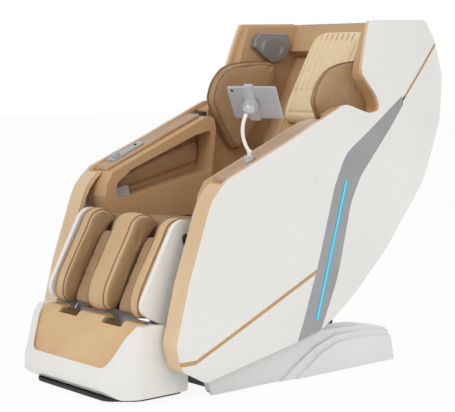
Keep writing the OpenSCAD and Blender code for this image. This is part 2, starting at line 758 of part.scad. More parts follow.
// The neck bows sideways and comes back over its socket.
module gooseneck() {
    color("white") translate([socket_x, socket_y, 0]) {
        translate([0, 0, socket_z + spigot_low]) cylinder(r = 10, h = socket_h - spigot_low);
        translate([0, 0, socket_z + 14]) cylinder(r = neck_r, h = neck_straight);
        translate([0, 0, neck_top]) sphere(r = neck_r + 2.5);
        translate([0, 0, neck_top]) rotate([0, 0, neck_dir])
            translate([neck_bend_r * cos(neck_angle), 0, neck_bend_r * sin(neck_angle)]) rotate([90, 0, 0])
                rotate([0, 0, 180 - neck_angle]) rotate_extrude(angle = 2 * neck_angle)
                    translate([neck_bend_r, 0]) circle(r = neck_r);
        translate([0, 0, ball_z]) sphere(r = ball_r);
    }
}
ball_z = neck_top + 2 * neck_bend_r * sin(neck_angle);
ball_at = [socket_x, socket_y, ball_z];

tablet_turn = 28;
tablet_shift = 10;
module at_ball() {
    translate(ball_at) rotate([0, 0, tablet_turn]) rotate([tablet_tilt, 0, 0]) children();
}
module tablet_clamp() {
    color(silver) at_ball() difference() {
        union() {
            translate([0, -1, 0]) rotate([-90, 0, 0]) cylinder(r = ball_r + 4, h = ball_r + 4);
            translate([-16, ball_r + 3, -tablet_h / 2 - 4]) cube([32, 5, tablet_h + 4]);
            translate([-16, ball_r + 3, -tablet_h / 2 - 4]) cube([32, tablet_t + 9, 4]);
            translate([-16, ball_r + 8 + tablet_t + 0.3, -tablet_h / 2 - 4]) cube([32, 4, 10]);
        }
        sphere(r = ball_r + fit);
        translate([-9, ball_r + 2.5, 0]) cube([18, 3.5, tablet_h]);
    }
}

module clamp_jaw() {
    color(silver) at_ball() {
        translate([-9 + fit, ball_r + 3, 18]) cube([18 - 2 * fit, 3 - fit, tablet_h / 2 - 15]);
        translate([-14, ball_r + 3, tablet_h / 2 + 0.2]) cube([28, tablet_t + 9, 4]);
        translate([-14, ball_r + 8 + tablet_t + 0.3, tablet_h / 2 - 5]) cube([28, 4, 9]);
    }
}

module tablet() {
    color([0.6, 0.62, 0.64]) at_ball() translate([0, ball_r + 8, 0]) rotate([-90, 0, 0])
        linear_extrude(tablet_t) translate([tablet_shift, 0])
            polygon(rounded([[-tablet_w / 2, -tablet_h / 2, 8], [tablet_w / 2, -tablet_h / 2, 8],
                             [tablet_w / 2, tablet_h / 2, 8], [-tablet_w / 2, tablet_h / 2, 8]]));
}

// ---- leg unit, drawn hanging straight down from the knee pivot and turned by the slant ----
module at_knee() {
    translate([0, knee_y, knee_z]) rotate([-calf_slant, 0, 0]) children();
}
calf_rear = 28;
calf_profile = concat(
    [for (a = [200:-14:30]) [calf_r * cos(a), calf_r * sin(a)]],
    rounded([[calf_rear, 20, 6], [calf_rear, -calf_l, 40], [-calf_r, -calf_l, 60], [-calf_r, -60, 0],
             [-calf_r, -24, 0]]));
function flip(pts) = [for (i = [len(pts) - 1:-1:0]) pts[i]];

module calf_slab(x0, w) {
    color(brown) at_knee() translate([x0, 0, 0]) rotate([90, 0, 90]) puff(flip(calf_profile), w, 0.5);
}
slab_x = middle_w / 2 + channel_w;
module left_calf_cushion() { calf_slab(slab_x, outer_w); }
module right_calf_cushion() { calf_slab(-slab_x - outer_w, outer_w); }
module middle_calf_cushion() { calf_slab(-middle_w / 2, middle_w); }

back_plate = calf_rear + 0.4;
module calf_back_pads() {
    color(brown) at_knee() both() translate([middle_w / 2 + channel_w / 2, back_plate - soft_gap, -calf_l / 2 - 22])
        rotate([90, 0, 0]) quilt(channel_w - 2, calf_l - 70, 34, 0, 0, 1, 8, 12);
}

cover_in = slab_x + outer_w + 6;
cover_w = 18;
knee_in = cover_in + cover_w + 2;
module calf_covers() {
    shape = concat([for (a = [190:-14:40]) [(calf_r - 3) * cos(a), (calf_r - 3) * sin(a)]],
                   rounded([[calf_rear + 14, 10, 10], [calf_rear + 60, -70, 40], [calf_rear + 60, -calf_l + 30, 60],
                            [calf_rear + 20, -calf_l + 10, 30], [-calf_r + 3, -calf_l + 8, 50],
                            [-calf_r + 3, -40, 0]]));
    color(white) at_knee() both() difference() {
        slab(flip(shape), cover_in, cover_in + cover_w);
        across(knee_r + fit, cover_in - 1, cover_in + cover_w + 1, 0, 0);
    }
}

module calf_frame() {
    color(steel) at_knee() difference() {
        union() {
            translate([-cover_in, back_plate, -calf_l + 24]) cube([2 * cover_in, 5, calf_l - 60]);
            both() slab(rounded([[-20, -14, 10], [-10, 20, 14], [18, 20, 10], [back_plate + 5, -20, 8],
                                 [back_plate + 5, -calf_l + 24, 4], [calf_rear - 4, -calf_l + 24, 4],
                                 [calf_rear - 4, -60, 20]]), slab_x + outer_w + 1, cover_in);
            both() translate([rod_x - 14, back_plate + 5, -calf_l + 24]) cube([28, 28, 150]);
            both() slab([[back_plate + 5, -55], [leg_eye_y + 12, leg_eye_z + 12], [leg_eye_y + 12, leg_eye_z - 12],
                         [back_plate + 5, -130]], lug_w / 2 + 2, lug_w / 2 + 8);
        }
        both() across(knee_r + fit, slab_x + outer_w, cover_in + 1, 0, 0);
        both() translate([rod_x, back_plate + 19, -calf_l]) cylinder(r = rod_r + fit, h = 200);
        translate([-14, back_plate - 1, leg_eye_z - 28]) cube([28, 7, 56]);
    }
    color(steel) at_knee() across(act_pin_r, -lug_w / 2 - 8, lug_w / 2 + 8, leg_eye_y, leg_eye_z);
}
leg_eye_y = 58;
leg_eye_z = -80;
rod_x = 205;

// ---- foot unit ----
foot_outline = rounded([[-650, 22, 20], [-701, 56, 30], [-703.5, 86, 8], [-670, 118, 60], [-618, 214, 40],
                        [-590, 246, 20], [-540, 247, 60], [-500, 240, 40], [-468, 230, 26], [-432, 150, 60],
                        [-412, 96, 30], [-412, 22, 10]]);
foot_half = foot_w / 2;
// Clearance between the foot unit and each edge band
foot_gap = 8;
foot_plan = rounded([[-foot_half, -400, 0], [-foot_half, -608, 60], [-210, -704.5, 60], [210, -704.5, 60],
                     [foot_half, -608, 60], [foot_half, -400, 0]]);
foot_wall = 26;
deck_half = foot_half - foot_wall;
module foot_plan_block() {
    linear_extrude(400) polygon(foot_plan);
}
// Room inside the white foot shell.
module foot_room(by) {
    intersection() {
        linear_extrude(400) polygon(rounded([
            [-deck_half + by, -478 - by, 0], [-deck_half + by, -592 + by, 60], [-202, -674 + by, 60],
            [202, -674 + by, 60], [deck_half - by, -592 + by, 60], [deck_half - by, -478 - by, 0]]));
        slab([[-680, 62 + by], [-636, 40 + by], [-470, 40 + by], [-470, 400], [-680, 400]], -300, 300);
    }
}
well_outline = [[-590, 300], [-586, 190], [-645, 78], [-636, 52], [-510, 52], [-490, 200], [-486, 300]];
apron_top = rounded([[-680, 98, 0], [-655, 124, 30], [-610, 206, 40], [-570, 250, 24], [-530, 240, 20],
                     [-500, 60, 0], [-680, 60, 0]]);
apron_t = 7;
module wells() {
    both() slab(well_outline, middle_w / 2 + 3, middle_w / 2 + channel_w - 3);
}
module foot_shell() {
    color(white) difference() {
        intersection() {
            slab(foot_outline, -foot_half, foot_half);
            foot_plan_block();
        }
        foot_room(0);
    }
}

module foot_apron() {
    color(cream) intersection() {
        difference() {
            slab(apron_top, -deck_half, deck_half);
            slab(moved(apron_top, [apron_t, -apron_t]), -deck_half - 1, deck_half + 1);
            wells();
        }
        foot_room(gap / 2);
        slab([[-700, 40], [-700, 400], [-540, 400], [-540, 40]], -500, 500);
    }
}

// The lining is nine pads: three cheeks, and a toe, floor and heel pad in each well.
lining_low = 30;
lining_front = -680 + apron_t + gap / 2;
lining_profile = concat([for (p = moved(apron_top, [apron_t + gap / 2, -apron_t - gap / 2])) if (p[0] < -548 && p[1] > 70) p],
                        [[-540, 226], [-508, 212], [-478, 150], [-478, lining_low], [lining_front, lining_low]]);
mound = [[-539, 200], [-539, 249], [-517, 236], [-490, 180], [-478, 120]];
well_x0 = middle_w / 2 + 3;
well_x1 = middle_w / 2 + channel_w - 3;
module lining_slab(x0, x1) {
    intersection() {
        slab(lining_profile, x0, x1);
        foot_room(gap / 2);
    }
}
module cheek(x0, x1, m0, m1) {
    lining_slab(x0, x1);
    intersection() {
        slab(mound, m0, m1);
        foot_room(gap / 2);
    }
}
module well_pads() {
    toe = [[-700, 300], [-590, 300], [-586, 190], [-645, 78], [-636, 52], [-700, 52]];
    floor_pad = [[-700, 51.8], [-478, 51.8], [-478, 20], [-700, 20]];
    heel = [[-510, 52], [-490, 200], [-486, 300], [-470, 300], [-470, 52]];
    for (region = [toe, floor_pad, heel]) intersection() {
        lining_slab(well_x0 + 0.1, well_x1 - 0.1);
        slab(region, 0, 300);
    }
}
module foot_lining() {
    color(brown) difference() {
        union() {
            cheek(-well_x0, well_x0, -middle_w / 2 + 2, middle_w / 2 - 2);
            both() cheek(well_x1, deck_half, slab_x + 2, slab_x + outer_w - 2);
            both() well_pads();
        }
        at_knee() both() translate([rod_x, back_plate + 19, -calf_l - rod_drop]) cylinder(r = rod_r, h = 300);
    }
}

module foot_sole() {
    color(dark) translate([0, 0, 8]) linear_extrude(13.8) polygon(rounded([
        [-foot_half + 26, -416, 10], [-foot_half + 26, -580, 60], [-190, -664, 60], [190, -664, 60],
        [foot_half - 26, -580, 60], [foot_half - 26, -416, 10]]));
}

module foot_rods() {
    color(silver) at_knee() both() translate([rod_x, back_plate + 19, -calf_l - rod_drop])
        cylinder(r = rod_r, h = 150 + rod_drop);
}
rod_drop = 40;

// ---- actuators ----
module actuator_tube(a, b, l) {
    turn = atan2(b[1] - a[1], b[0] - a[0]);
    translate([0, a[0], a[1]]) rotate([turn, 0, 0]) difference() {
        union() {
            across(13, -lug_w / 2, lug_w / 2, 0, 0);
            translate([0, 8, 0]) rotate([-90, 0, 0]) cylinder(r = 15, h = l);
            translate([-15, 16, -15]) cube([30, 60, 30]);
        }
        across(act_pin_r + fit, -60, 60, 0, 0);
        translate([0, 84, 0]) rotate([-90, 0, 0]) cylinder(r = 8 + fit, h = l);
    }
}
module actuator_rod(a, b, slack) {
    turn = atan2(b[1] - a[1], b[0] - a[0]);
    reach = norm(b - a);
    open_pin = act_pin_r + slack;
    translate([0, a[0], a[1]]) rotate([turn, 0, 0]) difference() {
        union() {
            translate([0, 92, 0]) rotate([-90, 0, 0]) cylinder(r = 8, h = reach - 92 - open_pin - 2);
            across(open_pin + 4, -10, 10, reach, 0);
        }
        across(open_pin, -30, 30, reach, 0);
    }
}
rec_from = [act_y, act_z];
leg_eye = [knee_y, knee_z] + [leg_eye_y * cos(calf_slant) + leg_eye_z * sin(calf_slant),
                              -leg_eye_y * sin(calf_slant) + leg_eye_z * cos(calf_slant)];
module recline_tube() { color(dark) actuator_tube(rec_from, rec_eye, 220); }
module recline_rod() { color(silver) actuator_rod(rec_from, rec_eye, 3.5); }
module leg_tube() { color(dark) actuator_tube(leg_act, leg_eye, 250); }
module leg_rod() { color(silver) actuator_rod(leg_act, leg_eye, 8); }

// ---- massage unit; locally Z runs up the back and Y towards the rear cover ----
unit_up = 74;
axle_r = 8;
roller_axle_r = 5;
shaft_at = [58, 50];
nod_room = 8.5;
upper_at = [roller_r + nod_room, shaft_at[1] + roller_r + 14];
lower_at = [roller_r + nod_room, shaft_at[1] - roller_r - 14];
module at_unit() {
    p = on_back(track_low, unit_up);
    translate([0, p[0], p[1]]) rotate([-back_lean, 0, 0]) children();
}
cheek_x = track_x - 26;
plate_v = shaft_at[0] + 22;
module massage_carriage() {
    color(dark) at_unit() difference() {
        union() {
            translate([-cheek_x - 8, plate_v, 0]) cube([2 * cheek_x + 16, 8, 100]);
            both() translate([cheek_x, track_front, 5]) cube([8, plate_v - track_front + 4, 90]);
            both() for (u = [18, 82]) across(guide_r, cheek_x + 4, track_x + track_w - 4.6, track_mid, u);
            both() translate([bearing_x, shaft_at[0] - 14, shaft_at[1] - 14]) cube([12, plate_v - shaft_at[0] + 15, 28]);
        }
        across(axle_r + fit, -track_x, track_x, shaft_at[0], shaft_at[1]);
    }
}
bearing_x = 96;
roller_x = 40;
arm_x = roller_x + roller_w + 3;
module roller_arms() {
    color(steel) at_unit() {
        across(axle_r, -bearing_x - 14, bearing_x + 14, shaft_at[0], shaft_at[1]);
        both() slab(rounded([[shaft_at[0] + 12, shaft_at[1], 12], [upper_at[0] + 8, upper_at[1] + 8, 8],
                             [upper_at[0] - 8, upper_at[1] + 8, 8], [shaft_at[0] - 14, shaft_at[1], 20],
                             [lower_at[0] - 8, lower_at[1] - 8, 8], [lower_at[0] + 8, lower_at[1] - 8, 8]]),
                    arm_x, arm_x + 8);
        both() across(roller_axle_r, roller_x - 3, arm_x + 4, upper_at[0], upper_at[1]);
        both() across(roller_axle_r, roller_x - 3, arm_x + 4, lower_at[0], lower_at[1]);
        both() for (q = [upper_at, lower_at]) across(roller_axle_r + 4, roller_x - 5, roller_x - 2, q[0], q[1]);
    }
}
module roller_pair(q) {
    color(dark) at_unit() both() difference() {
        across(roller_r, roller_x, roller_x + roller_w, q[0], q[1]);
        across(roller_axle_r + fit, 0, 300, q[0], q[1]);
    }
}
module upper_rollers() {
    roller_pair(upper_at);
}
module lower_rollers() {
    roller_pair(lower_at);
}

base_shell();
base_frame();
base_feet();
slide_rails();
power_box();
mains_inlet();
power_switch();
slide_carriage();
slide_glides();
pivot_pin();
main_frame();
guide_tracks();
left_side_panel();
right_side_panel();
lower_panels();
rear_panels();
back_cover();
light_bars();
light_lenses();
gold_trims();
edge_bands();
inner_liners();
hood_crown();
speakers();
back_cushion();
shoulder_pads();
seat_cushion();
armrests();
arm_tops();
arm_pads();
hand_grips();
remote_pad();
remote_knob();
start_button();
air_pump();
holder_socket();
gooseneck();
tablet_clamp();
clamp_jaw();
tablet();
headrest_pillow();
calf_frame();
left_calf_cushion();
middle_calf_cushion();
right_calf_cushion();
calf_back_pads();
calf_covers();
foot_shell();
foot_apron();
foot_lining();
foot_sole();
foot_rods();
recline_tube();
recline_rod();
leg_tube();
leg_rod();
massage_carriage();
roller_arms();
upper_rollers();
lower_rollers();
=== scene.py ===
import json
import math
import bmesh
import bpy
from mathutils import Matrix, Vector


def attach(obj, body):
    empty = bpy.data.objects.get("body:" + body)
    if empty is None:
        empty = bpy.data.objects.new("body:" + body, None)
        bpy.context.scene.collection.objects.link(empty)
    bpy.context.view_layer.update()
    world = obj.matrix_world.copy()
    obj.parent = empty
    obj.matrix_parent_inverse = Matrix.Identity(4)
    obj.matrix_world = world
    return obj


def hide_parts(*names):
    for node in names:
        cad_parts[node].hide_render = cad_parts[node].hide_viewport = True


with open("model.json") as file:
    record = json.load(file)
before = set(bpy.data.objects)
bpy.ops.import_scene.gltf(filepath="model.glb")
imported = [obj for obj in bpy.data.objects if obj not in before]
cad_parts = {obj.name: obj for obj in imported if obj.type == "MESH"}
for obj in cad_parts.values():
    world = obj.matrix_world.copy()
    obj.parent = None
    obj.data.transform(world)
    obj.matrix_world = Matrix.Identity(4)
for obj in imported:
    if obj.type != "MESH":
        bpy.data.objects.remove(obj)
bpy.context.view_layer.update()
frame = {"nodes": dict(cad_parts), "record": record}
record = frame["record"]
bodyOf = {node: body for body, nodes in record["behaviour"]["bodies"].items() for node in nodes}
slotOf = {part["node"]: part["material_slot"] for part in record["subparts"]}


# ---- camera, lamps and floor ----
studio = {
    "cameraPlace": (3.462, -3.007, 1.04), "azimuth": 49.0, "pitch": 6.05, "lens": 105.23,
    "keyPower": 62, "fillPower": 26, "backPower": 22, "worldLevel": 0.62,
    "floorTone": 0.92, "floorWhite": 0.93, "floorHalf": 20, "sensor": 36, "viewDepth": 60,
}


def addCamera():
    data = bpy.data.cameras.new("studioCamera")
    data.lens = studio["lens"]
    data.sensor_width = studio["sensor"]
    data.clip_end = studio["viewDepth"]
    camera = bpy.data.objects.new("studioCamera", data)
    bpy.context.scene.collection.objects.link(camera)
    a, e = math.radians(studio["azimuth"]), math.radians(studio["pitch"])
    look = Vector((-math.sin(a) * math.cos(e), math.cos(a) * math.cos(e), -math.sin(e)))
    camera.location = studio["cameraPlace"]
    camera.rotation_euler = look.to_track_quat("-Z", "Y").to_euler()
    bpy.context.scene.camera = camera


def addLamp(name, place, target, size, power):
    data = bpy.data.lights.new(name, "AREA")
    data.shape = "RECTANGLE"
    data.size, data.size_y = size
    data.energy = power
    lamp = bpy.data.objects.new(name, data)
    bpy.context.scene.collection.objects.link(lamp)
    lamp.location = place
    lamp.rotation_euler = (Vector(target) - Vector(place)).to_track_quat("-Z", "Y").to_euler()


def whiteToCamera(tree, level):
    # what the camera and mirrors see is plain white; the lighting itself stays as it is
    nodes, links = tree.nodes, tree.links
    path = nodes.new("ShaderNodeLightPath")
    most = nodes.new("ShaderNodeMath")
    most.operation = "MAXIMUM"
    both = nodes.new("ShaderNodeMath")
    both.operation = "MAXIMUM"
    links.new(path.outputs["Is Camera Ray"], both.inputs[0])
    links.new(path.outputs["Is Glossy Ray"], both.inputs[1])
    links.new(both.outputs[0], most.inputs[0])
    links.new(path.outputs["Is Transmission Ray"], most.inputs[1])
    share = nodes.new("ShaderNodeMath")
    share.operation = "MULTIPLY"
    share.inputs[1].default_value = level
    links.new(most.outputs[0], share.inputs[0])
    return share.outputs[0]


def addStudio():
    world = bpy.data.worlds.new("studioWorld")
    bpy.context.scene.world = world
    world.use_nodes = True
    tree = world.node_tree
    soft = tree.nodes["Background"]
    soft.inputs["Color"].default_value = (1, 1, 1, 1)
    soft.inputs["Strength"].default_value = studio["worldLevel"]
    plain = tree.nodes.new("ShaderNodeBackground")
    plain.inputs["Color"].default_value = (1, 1, 1, 1)
    plain.inputs["Strength"].default_value = 1.0
    mix = tree.nodes.new("ShaderNodeMixShader")
    path = tree.nodes.new("ShaderNodeLightPath")
    tree.links.new(path.outputs["Is Camera Ray"], mix.inputs[0])
    tree.links.new(soft.outputs[0], mix.inputs[1])
    tree.links.new(plain.outputs[0], mix.inputs[2])
    tree.links.new(mix.outputs[0], tree.nodes["World Output"].inputs["Surface"])

    mesh = bpy.data.meshes.new("floor")
    s = studio["floorHalf"]
    mesh.from_pydata([(-s, -s, 0), (s, -s, 0), (s, s, 0), (-s, s, 0)], [], [(0, 1, 2, 3)])
    floor = bpy.data.objects.new("floor", mesh)
    bpy.context.scene.collection.objects.link(floor)
    material = bpy.data.materials.new("floorPaint")
    material.use_nodes = True
    nodes, links = material.node_tree.nodes, material.node_tree.links
    bsdf = nodes["Principled BSDF"]
    t = studio["floorTone"]
    bsdf.inputs["Base Color"].default_value = (t, t, t, 1)
    bsdf.inputs["Roughness"].default_value = 0.9
    glow = nodes.new("ShaderNodeEmission")
    mix = nodes.new("ShaderNodeMixShader")
    links.new(whiteToCamera(material.node_tree, studio["floorWhite"]), mix.inputs[0])
    links.new(bsdf.outputs[0], mix.inputs[1])
    links.new(glow.outputs[0], mix.inputs[2])
    links.new(mix.outputs[0], nodes["Material Output"].inputs["Surface"])
    mesh.materials.append(material)

    addLamp("keyLamp", (1.2, -3.6, 3.4), (0, 0, 0.6), (2.6, 2.6), studio["keyPower"])
    addLamp("fillLamp", (4.0, 0.6, 2.2), (0.2, 0, 0.6), (2.4, 2.4), studio["fillPower"])
    addLamp("backLamp", (-2.2, 3.0, 3.2), (0, 0, 0.8), (2.2, 2.2), studio["backPower"])
    bpy.context.scene.view_settings.view_transform = "Standard"


addCamera()
addStudio()
print("camera, lamps and floor ready")


# ---- shared surface effects ----
def tone(r, g, b):
    # a colour as it looks on screen, 0 to 255, turned into the linear value that shaders use
    def one(v):
        v = v / 255
        return v / 12.92 if v <= 0.04045 else ((v + 0.055) / 1.055) ** 2.4
    return (one(r), one(g), one(b), 1.0)


def newGroup(name, inputs, outputs=("Tone", "Rough", "Height")):
    group = bpy.data.node_groups.new(name, "ShaderNodeTree")
    for label, value in inputs:
        socket = group.interface.new_socket(label, in_out="INPUT", socket_type="NodeSocketFloat")
        socket.default_value = value
    for label in outputs:
        group.interface.new_socket(label, in_out="OUTPUT", socket_type="NodeSocketFloat")
    return group, group.nodes.new("NodeGroupInput"), group.nodes.new("NodeGroupOutput")


def mathNode(group, operation, a, b):
    node = group.nodes.new("ShaderNodeMath")
    node.operation = operation
    for k, value in enumerate((a, b)):
        if hasattr(value, "is_linked"):
            group.links.new(value, node.inputs[k])
        else:
            node.inputs[k].default_value = value
    return node.outputs[0]


def blend(group, a, shareA, b, shareB):
    first, second = mathNode(group, "MULTIPLY", a, shareA), mathNode(group, "MULTIPLY", b, shareB)
    return mathNode(group, "ADD", first, second)


def noiseNode(group, vector, scale, detail=3.0):
    node = group.nodes.new("ShaderNodeTexNoise")
    node.inputs["Detail"].default_value = detail
    group.links.new(vector, node.inputs["Vector"])
    if hasattr(scale, "is_linked"):
        group.links.new(scale, node.inputs["Scale"])
    else:
        node.inputs["Scale"].default_value = scale
    return node.outputs["Fac"]


def stretched(group, factors):
    place = group.nodes.new("ShaderNodeTexCoord")
    scaled = group.nodes.new("ShaderNodeMapping")
    scaled.inputs["Scale"].default_value = factors
    group.links.new(place.outputs["Object"], scaled.inputs["Vector"])
    return scaled.outputs[0]


def leatherGroup():
    group, gin, gout = newGroup("leatherGrain", [("Scale", 380.0), ("Creases", 0.5)])
    place = group.nodes.new("ShaderNodeTexCoord").outputs["Object"]
    cells = group.nodes.new("ShaderNodeTexVoronoi")
    cells.feature = "SMOOTH_F1"
    group.links.new(place, cells.inputs["Vector"])
    group.links.new(gin.outputs["Scale"], cells.inputs["Scale"])
    fold = noiseNode(group, place, 26.0, 5.0)
    wide = noiseNode(group, place, 5.0, 2.0)
    grain = mathNode(group, "MULTIPLY", cells.outputs["Distance"], 0.55)
    creased = mathNode(group, "MULTIPLY", fold, gin.outputs["Creases"])
    group.links.new(mathNode(group, "ADD", grain, creased), gout.inputs["Height"])
    group.links.new(blend(group, wide, 0.62, fold, 0.38), gout.inputs["Tone"])
    group.links.new(blend(group, fold, 0.7, cells.outputs["Distance"], 0.3), gout.inputs["Rough"])
    return group


def plasticGroup():
    group, gin, gout = newGroup("mouldedSkin", [("Scale", 900.0)])
    place = group.nodes.new("ShaderNodeTexCoord").outputs["Object"]
    fine = noiseNode(group, place, gin.outputs["Scale"], 2.0)
    wide = noiseNode(group, place, 2.6, 2.0)
    smear = noiseNode(group, place, 14.0, 4.0)
    group.links.new(fine, gout.inputs["Height"])
    group.links.new(wide, gout.inputs["Tone"])
    group.links.new(smear, gout.inputs["Rough"])
    return group


def brushedGroup():
    group, gin, gout = newGroup("brushedMetal", [("Scale", 60.0)])
    along = stretched(group, (1.0, 14.0, 14.0))
    lines = noiseNode(group, along, gin.outputs["Scale"], 4.0)
    place = group.nodes.new("ShaderNodeTexCoord").outputs["Object"]
    wide = noiseNode(group, place, 9.0, 2.0)
    group.links.new(lines, gout.inputs["Height"])
    group.links.new(lines, gout.inputs["Rough"])
    group.links.new(blend(group, lines, 0.5, wide, 0.5), gout.inputs["Tone"])
    return group


def woodGroup():
    group, gin, gout = newGroup("woodGrain", [("Scale", 9.0)])
    along = stretched(group, (4.0, 0.35, 0.35))
    wide = noiseNode(group, along, gin.outputs["Scale"], 3.0)
    fibre = noiseNode(group, stretched(group, (22.0, 0.7, 1.6)), 34.0, 3.0)
    mixed = blend(group, wide, 0.62, fibre, 0.38)
    group.links.new(mixed, gout.inputs["Tone"])
    group.links.new(fibre, gout.inputs["Height"])
    group.links.new(mixed, gout.inputs["Rough"])
    return group


effects = {"leather": leatherGroup(), "plastic": plasticGroup(), "brushed": brushedGroup(), "wood": woodGroup()}


def surface(name, effect, dark, light, rough, bump=0.1, depth=0.0004, values=None, **sockets):
    material = bpy.data.materials.new(name)
    material.use_nodes = True
    nodes, links = material.node_tree.nodes, material.node_tree.links
    bsdf = nodes["Principled BSDF"]
    for label, value in sockets.items():
        bsdf.inputs[label.replace("_", " ")].default_value = value
    fx = nodes.new("ShaderNodeGroup")
    fx.node_tree = effects[effect]
    for label, value in (values or {}).items():
        fx.inputs[label].default_value = value
    ramp = nodes.new("ShaderNodeValToRGB")
    ramp.color_ramp.elements[0].position = 0.25
    ramp.color_ramp.elements[1].position = 0.75
    ramp.color_ramp.elements[0].color = dark
    ramp.color_ramp.elements[1].color = light
    links.new(fx.outputs["Tone"], ramp.inputs["Fac"])
    links.new(ramp.outputs["Color"], bsdf.inputs["Base Color"])
    span = nodes.new("ShaderNodeMapRange")
    span.inputs["To Min"].default_value, span.inputs["To Max"].default_value = rough
    links.new(fx.outputs["Rough"], span.inputs["Value"])
    links.new(span.outputs["Result"], bsdf.inputs["Roughness"])
    relief = nodes.new("ShaderNodeBump")
    relief.inputs["Strength"].default_value = bump
    relief.inputs["Distance"].default_value = depth
    links.new(fx.outputs["Height"], relief.inputs["Height"])
    links.new(relief.outputs["Normal"], bsdf.inputs["Normal"])
    return material


# a line along the lit strip, a point on it, and half its width
litStrip = {"along": (0, 0.133, 0.455), "onLine": (0, 0.073, 0.200), "halfWidth": 0.0075, "strength": 0.95}


def lensGlow():
    # brightest along its middle
    material = surface("lightLens", "plastic", tone(12, 60, 78), tone(18, 72, 90), (0.2, 0.35), 0.05)
    nodes, links = material.node_tree.nodes, material.node_tree.links
    bsdf = nodes["Principled BSDF"]
    place = nodes.new("ShaderNodeTexCoord")
    side = nodes.new("ShaderNodeVectorMath")
    side.operation = "DOT_PRODUCT"
    along = Vector(litStrip["along"]).normalized()
    across = Vector((0, along.z, -along.y))
    side.inputs[1].default_value = across
    links.new(place.outputs["Object"], side.inputs[0])
    shift = nodes.new("ShaderNodeMath")
    shift.operation = "SUBTRACT"
    shift.inputs[1].default_value = across.dot(Vector(litStrip["onLine"]))
    size = nodes.new("ShaderNodeMath")
    size.operation = "ABSOLUTE"
    wide = nodes.new("ShaderNodeMath")
    wide.operation = "MULTIPLY"
    wide.inputs[1].default_value = 1 / litStrip["halfWidth"]
    ramp = nodes.new("ShaderNodeValToRGB")
    ramp.color_ramp.elements[0].position = 0.25
    ramp.color_ramp.elements[0].color = tone(88, 222, 244)
    ramp.color_ramp.elements[1].position = 0.95
    ramp.color_ramp.elements[1].color = tone(18, 132, 184)
    links.new(side.outputs["Value"], shift.inputs[0])
    links.new(shift.outputs[0], size.inputs[0])
    links.new(size.outputs[0], wide.inputs[0])
    links.new(wide.outputs[0], ramp.inputs["Fac"])
    links.new(ramp.outputs["Color"], bsdf.inputs["Emission Color"])
    bsdf.inputs["Emission Strength"].default_value = litStrip["strength"]
    return material


finish = {
    "whitePanel": surface("whitePanel", "plastic", tone(238, 236, 231), tone(245, 243, 239),
                          (0.24, 0.36), 0.04, Coat_Weight=0.35, Coat_Roughness=0.12),
    "basePaint": surface("basePaint", "plastic", tone(232, 232, 230), tone(240, 240, 239),
                         (0.26, 0.4), 0.04, Coat_Weight=0.3, Coat_Roughness=0.15),
    "tanSkin": surface("tanSkin", "plastic", tone(196, 158, 116), tone(208, 171, 129),
                       (0.42, 0.56), 0.08),
    "tanLeather": surface("tanLeather", "leather", tone(196, 160, 117), tone(217, 184, 142),
                          (0.36, 0.55), 0.3, Sheen_Weight=0.1),
    "brownLeather": surface("brownLeather", "leather", tone(160, 127, 91), tone(184, 151, 113),
                            (0.36, 0.54), 0.32, Sheen_Weight=0.1),
    "creamLeather": surface("creamLeather", "leather", tone(236, 208, 164), tone(248, 228, 192),
                            (0.32, 0.5), 0.26, Sheen_Weight=0.08),
    "goldPaint": surface("goldPaint", "plastic", tone(224, 190, 148), tone(241, 213, 176),
                         (0.26, 0.36), 0.05, Metallic=0.25, Coat_Weight=0.3),
    "apronLeather": surface("apronLeather", "leather", tone(212, 172, 124), tone(230, 196, 150),
                            (0.36, 0.52), 0.26, Sheen_Weight=0.08),
    "pipingBrown": surface("pipingBrown", "leather", tone(142, 106, 72), tone(166, 128, 90),
                           (0.4, 0.55), 0.2),
    "trimGold": surface("trimGold", "brushed", tone(186, 144, 94), tone(216, 176, 124),
                        (0.26, 0.4), 0.06, Metallic=0.55),
    "greyBar": surface("greyBar", "brushed", tone(150, 150, 152), tone(176, 176, 178),
                       (0.32, 0.46), 0.06, Metallic=0.2),
    "lightLens": lensGlow(),
    "woodVeneer": surface("woodVeneer", "wood", tone(160, 122, 90), tone(208, 170, 132),
                          (0.28, 0.42), 0.08, Coat_Weight=0.4, Coat_Roughness=0.18),
    "silverPlastic": surface("silverPlastic", "brushed", tone(176, 177, 180), tone(206, 207, 210),
                             (0.26, 0.42), 0.04, Metallic=0.3),
    "speakerGrey": surface("speakerGrey", "brushed", tone(126, 128, 132), tone(160, 162, 166),
                           (0.28, 0.44), 0.05, Metallic=0.3),
    "tabletMetal": surface("tabletMetal", "brushed", tone(168, 171, 176), tone(198, 201, 206),
                           (0.26, 0.4), 0.03, Metallic=0.35),
    "brightSteel": surface("brightSteel", "brushed", tone(165, 168, 172), tone(208, 210, 214),
                           (0.22, 0.36), 0.1, Metallic=1.0),
    "darkSteel": surface("darkSteel", "plastic", tone(58, 60, 64), tone(74, 76, 80),
                         (0.42, 0.58), 0.14, Metallic=0.2),
    "blackPlastic": surface("blackPlastic", "plastic", tone(26, 26, 28), tone(38, 38, 41),
                            (0.42, 0.58), 0.14),
    "rubberBlack": surface("rubberBlack", "plastic", tone(20, 20, 21), tone(34, 34, 35),
                           (0.7, 0.86), 0.3, values={"Scale": 520.0}),
    "screenGlass": surface("screenGlass", "plastic", tone(9, 11, 14), tone(13, 15, 19),
                           (0.05, 0.12), 0.0, Coat_Weight=1.0, Coat_Roughness=0.03),
    "threadTan": surface("threadTan", "brushed", tone(128, 92, 58), tone(160, 118, 78),
                         (0.55, 0.7), 0.3),
    "threadCream": surface("threadCream", "brushed", tone(150, 114, 74), tone(178, 140, 96),
                           (0.55, 0.7), 0.3),
}
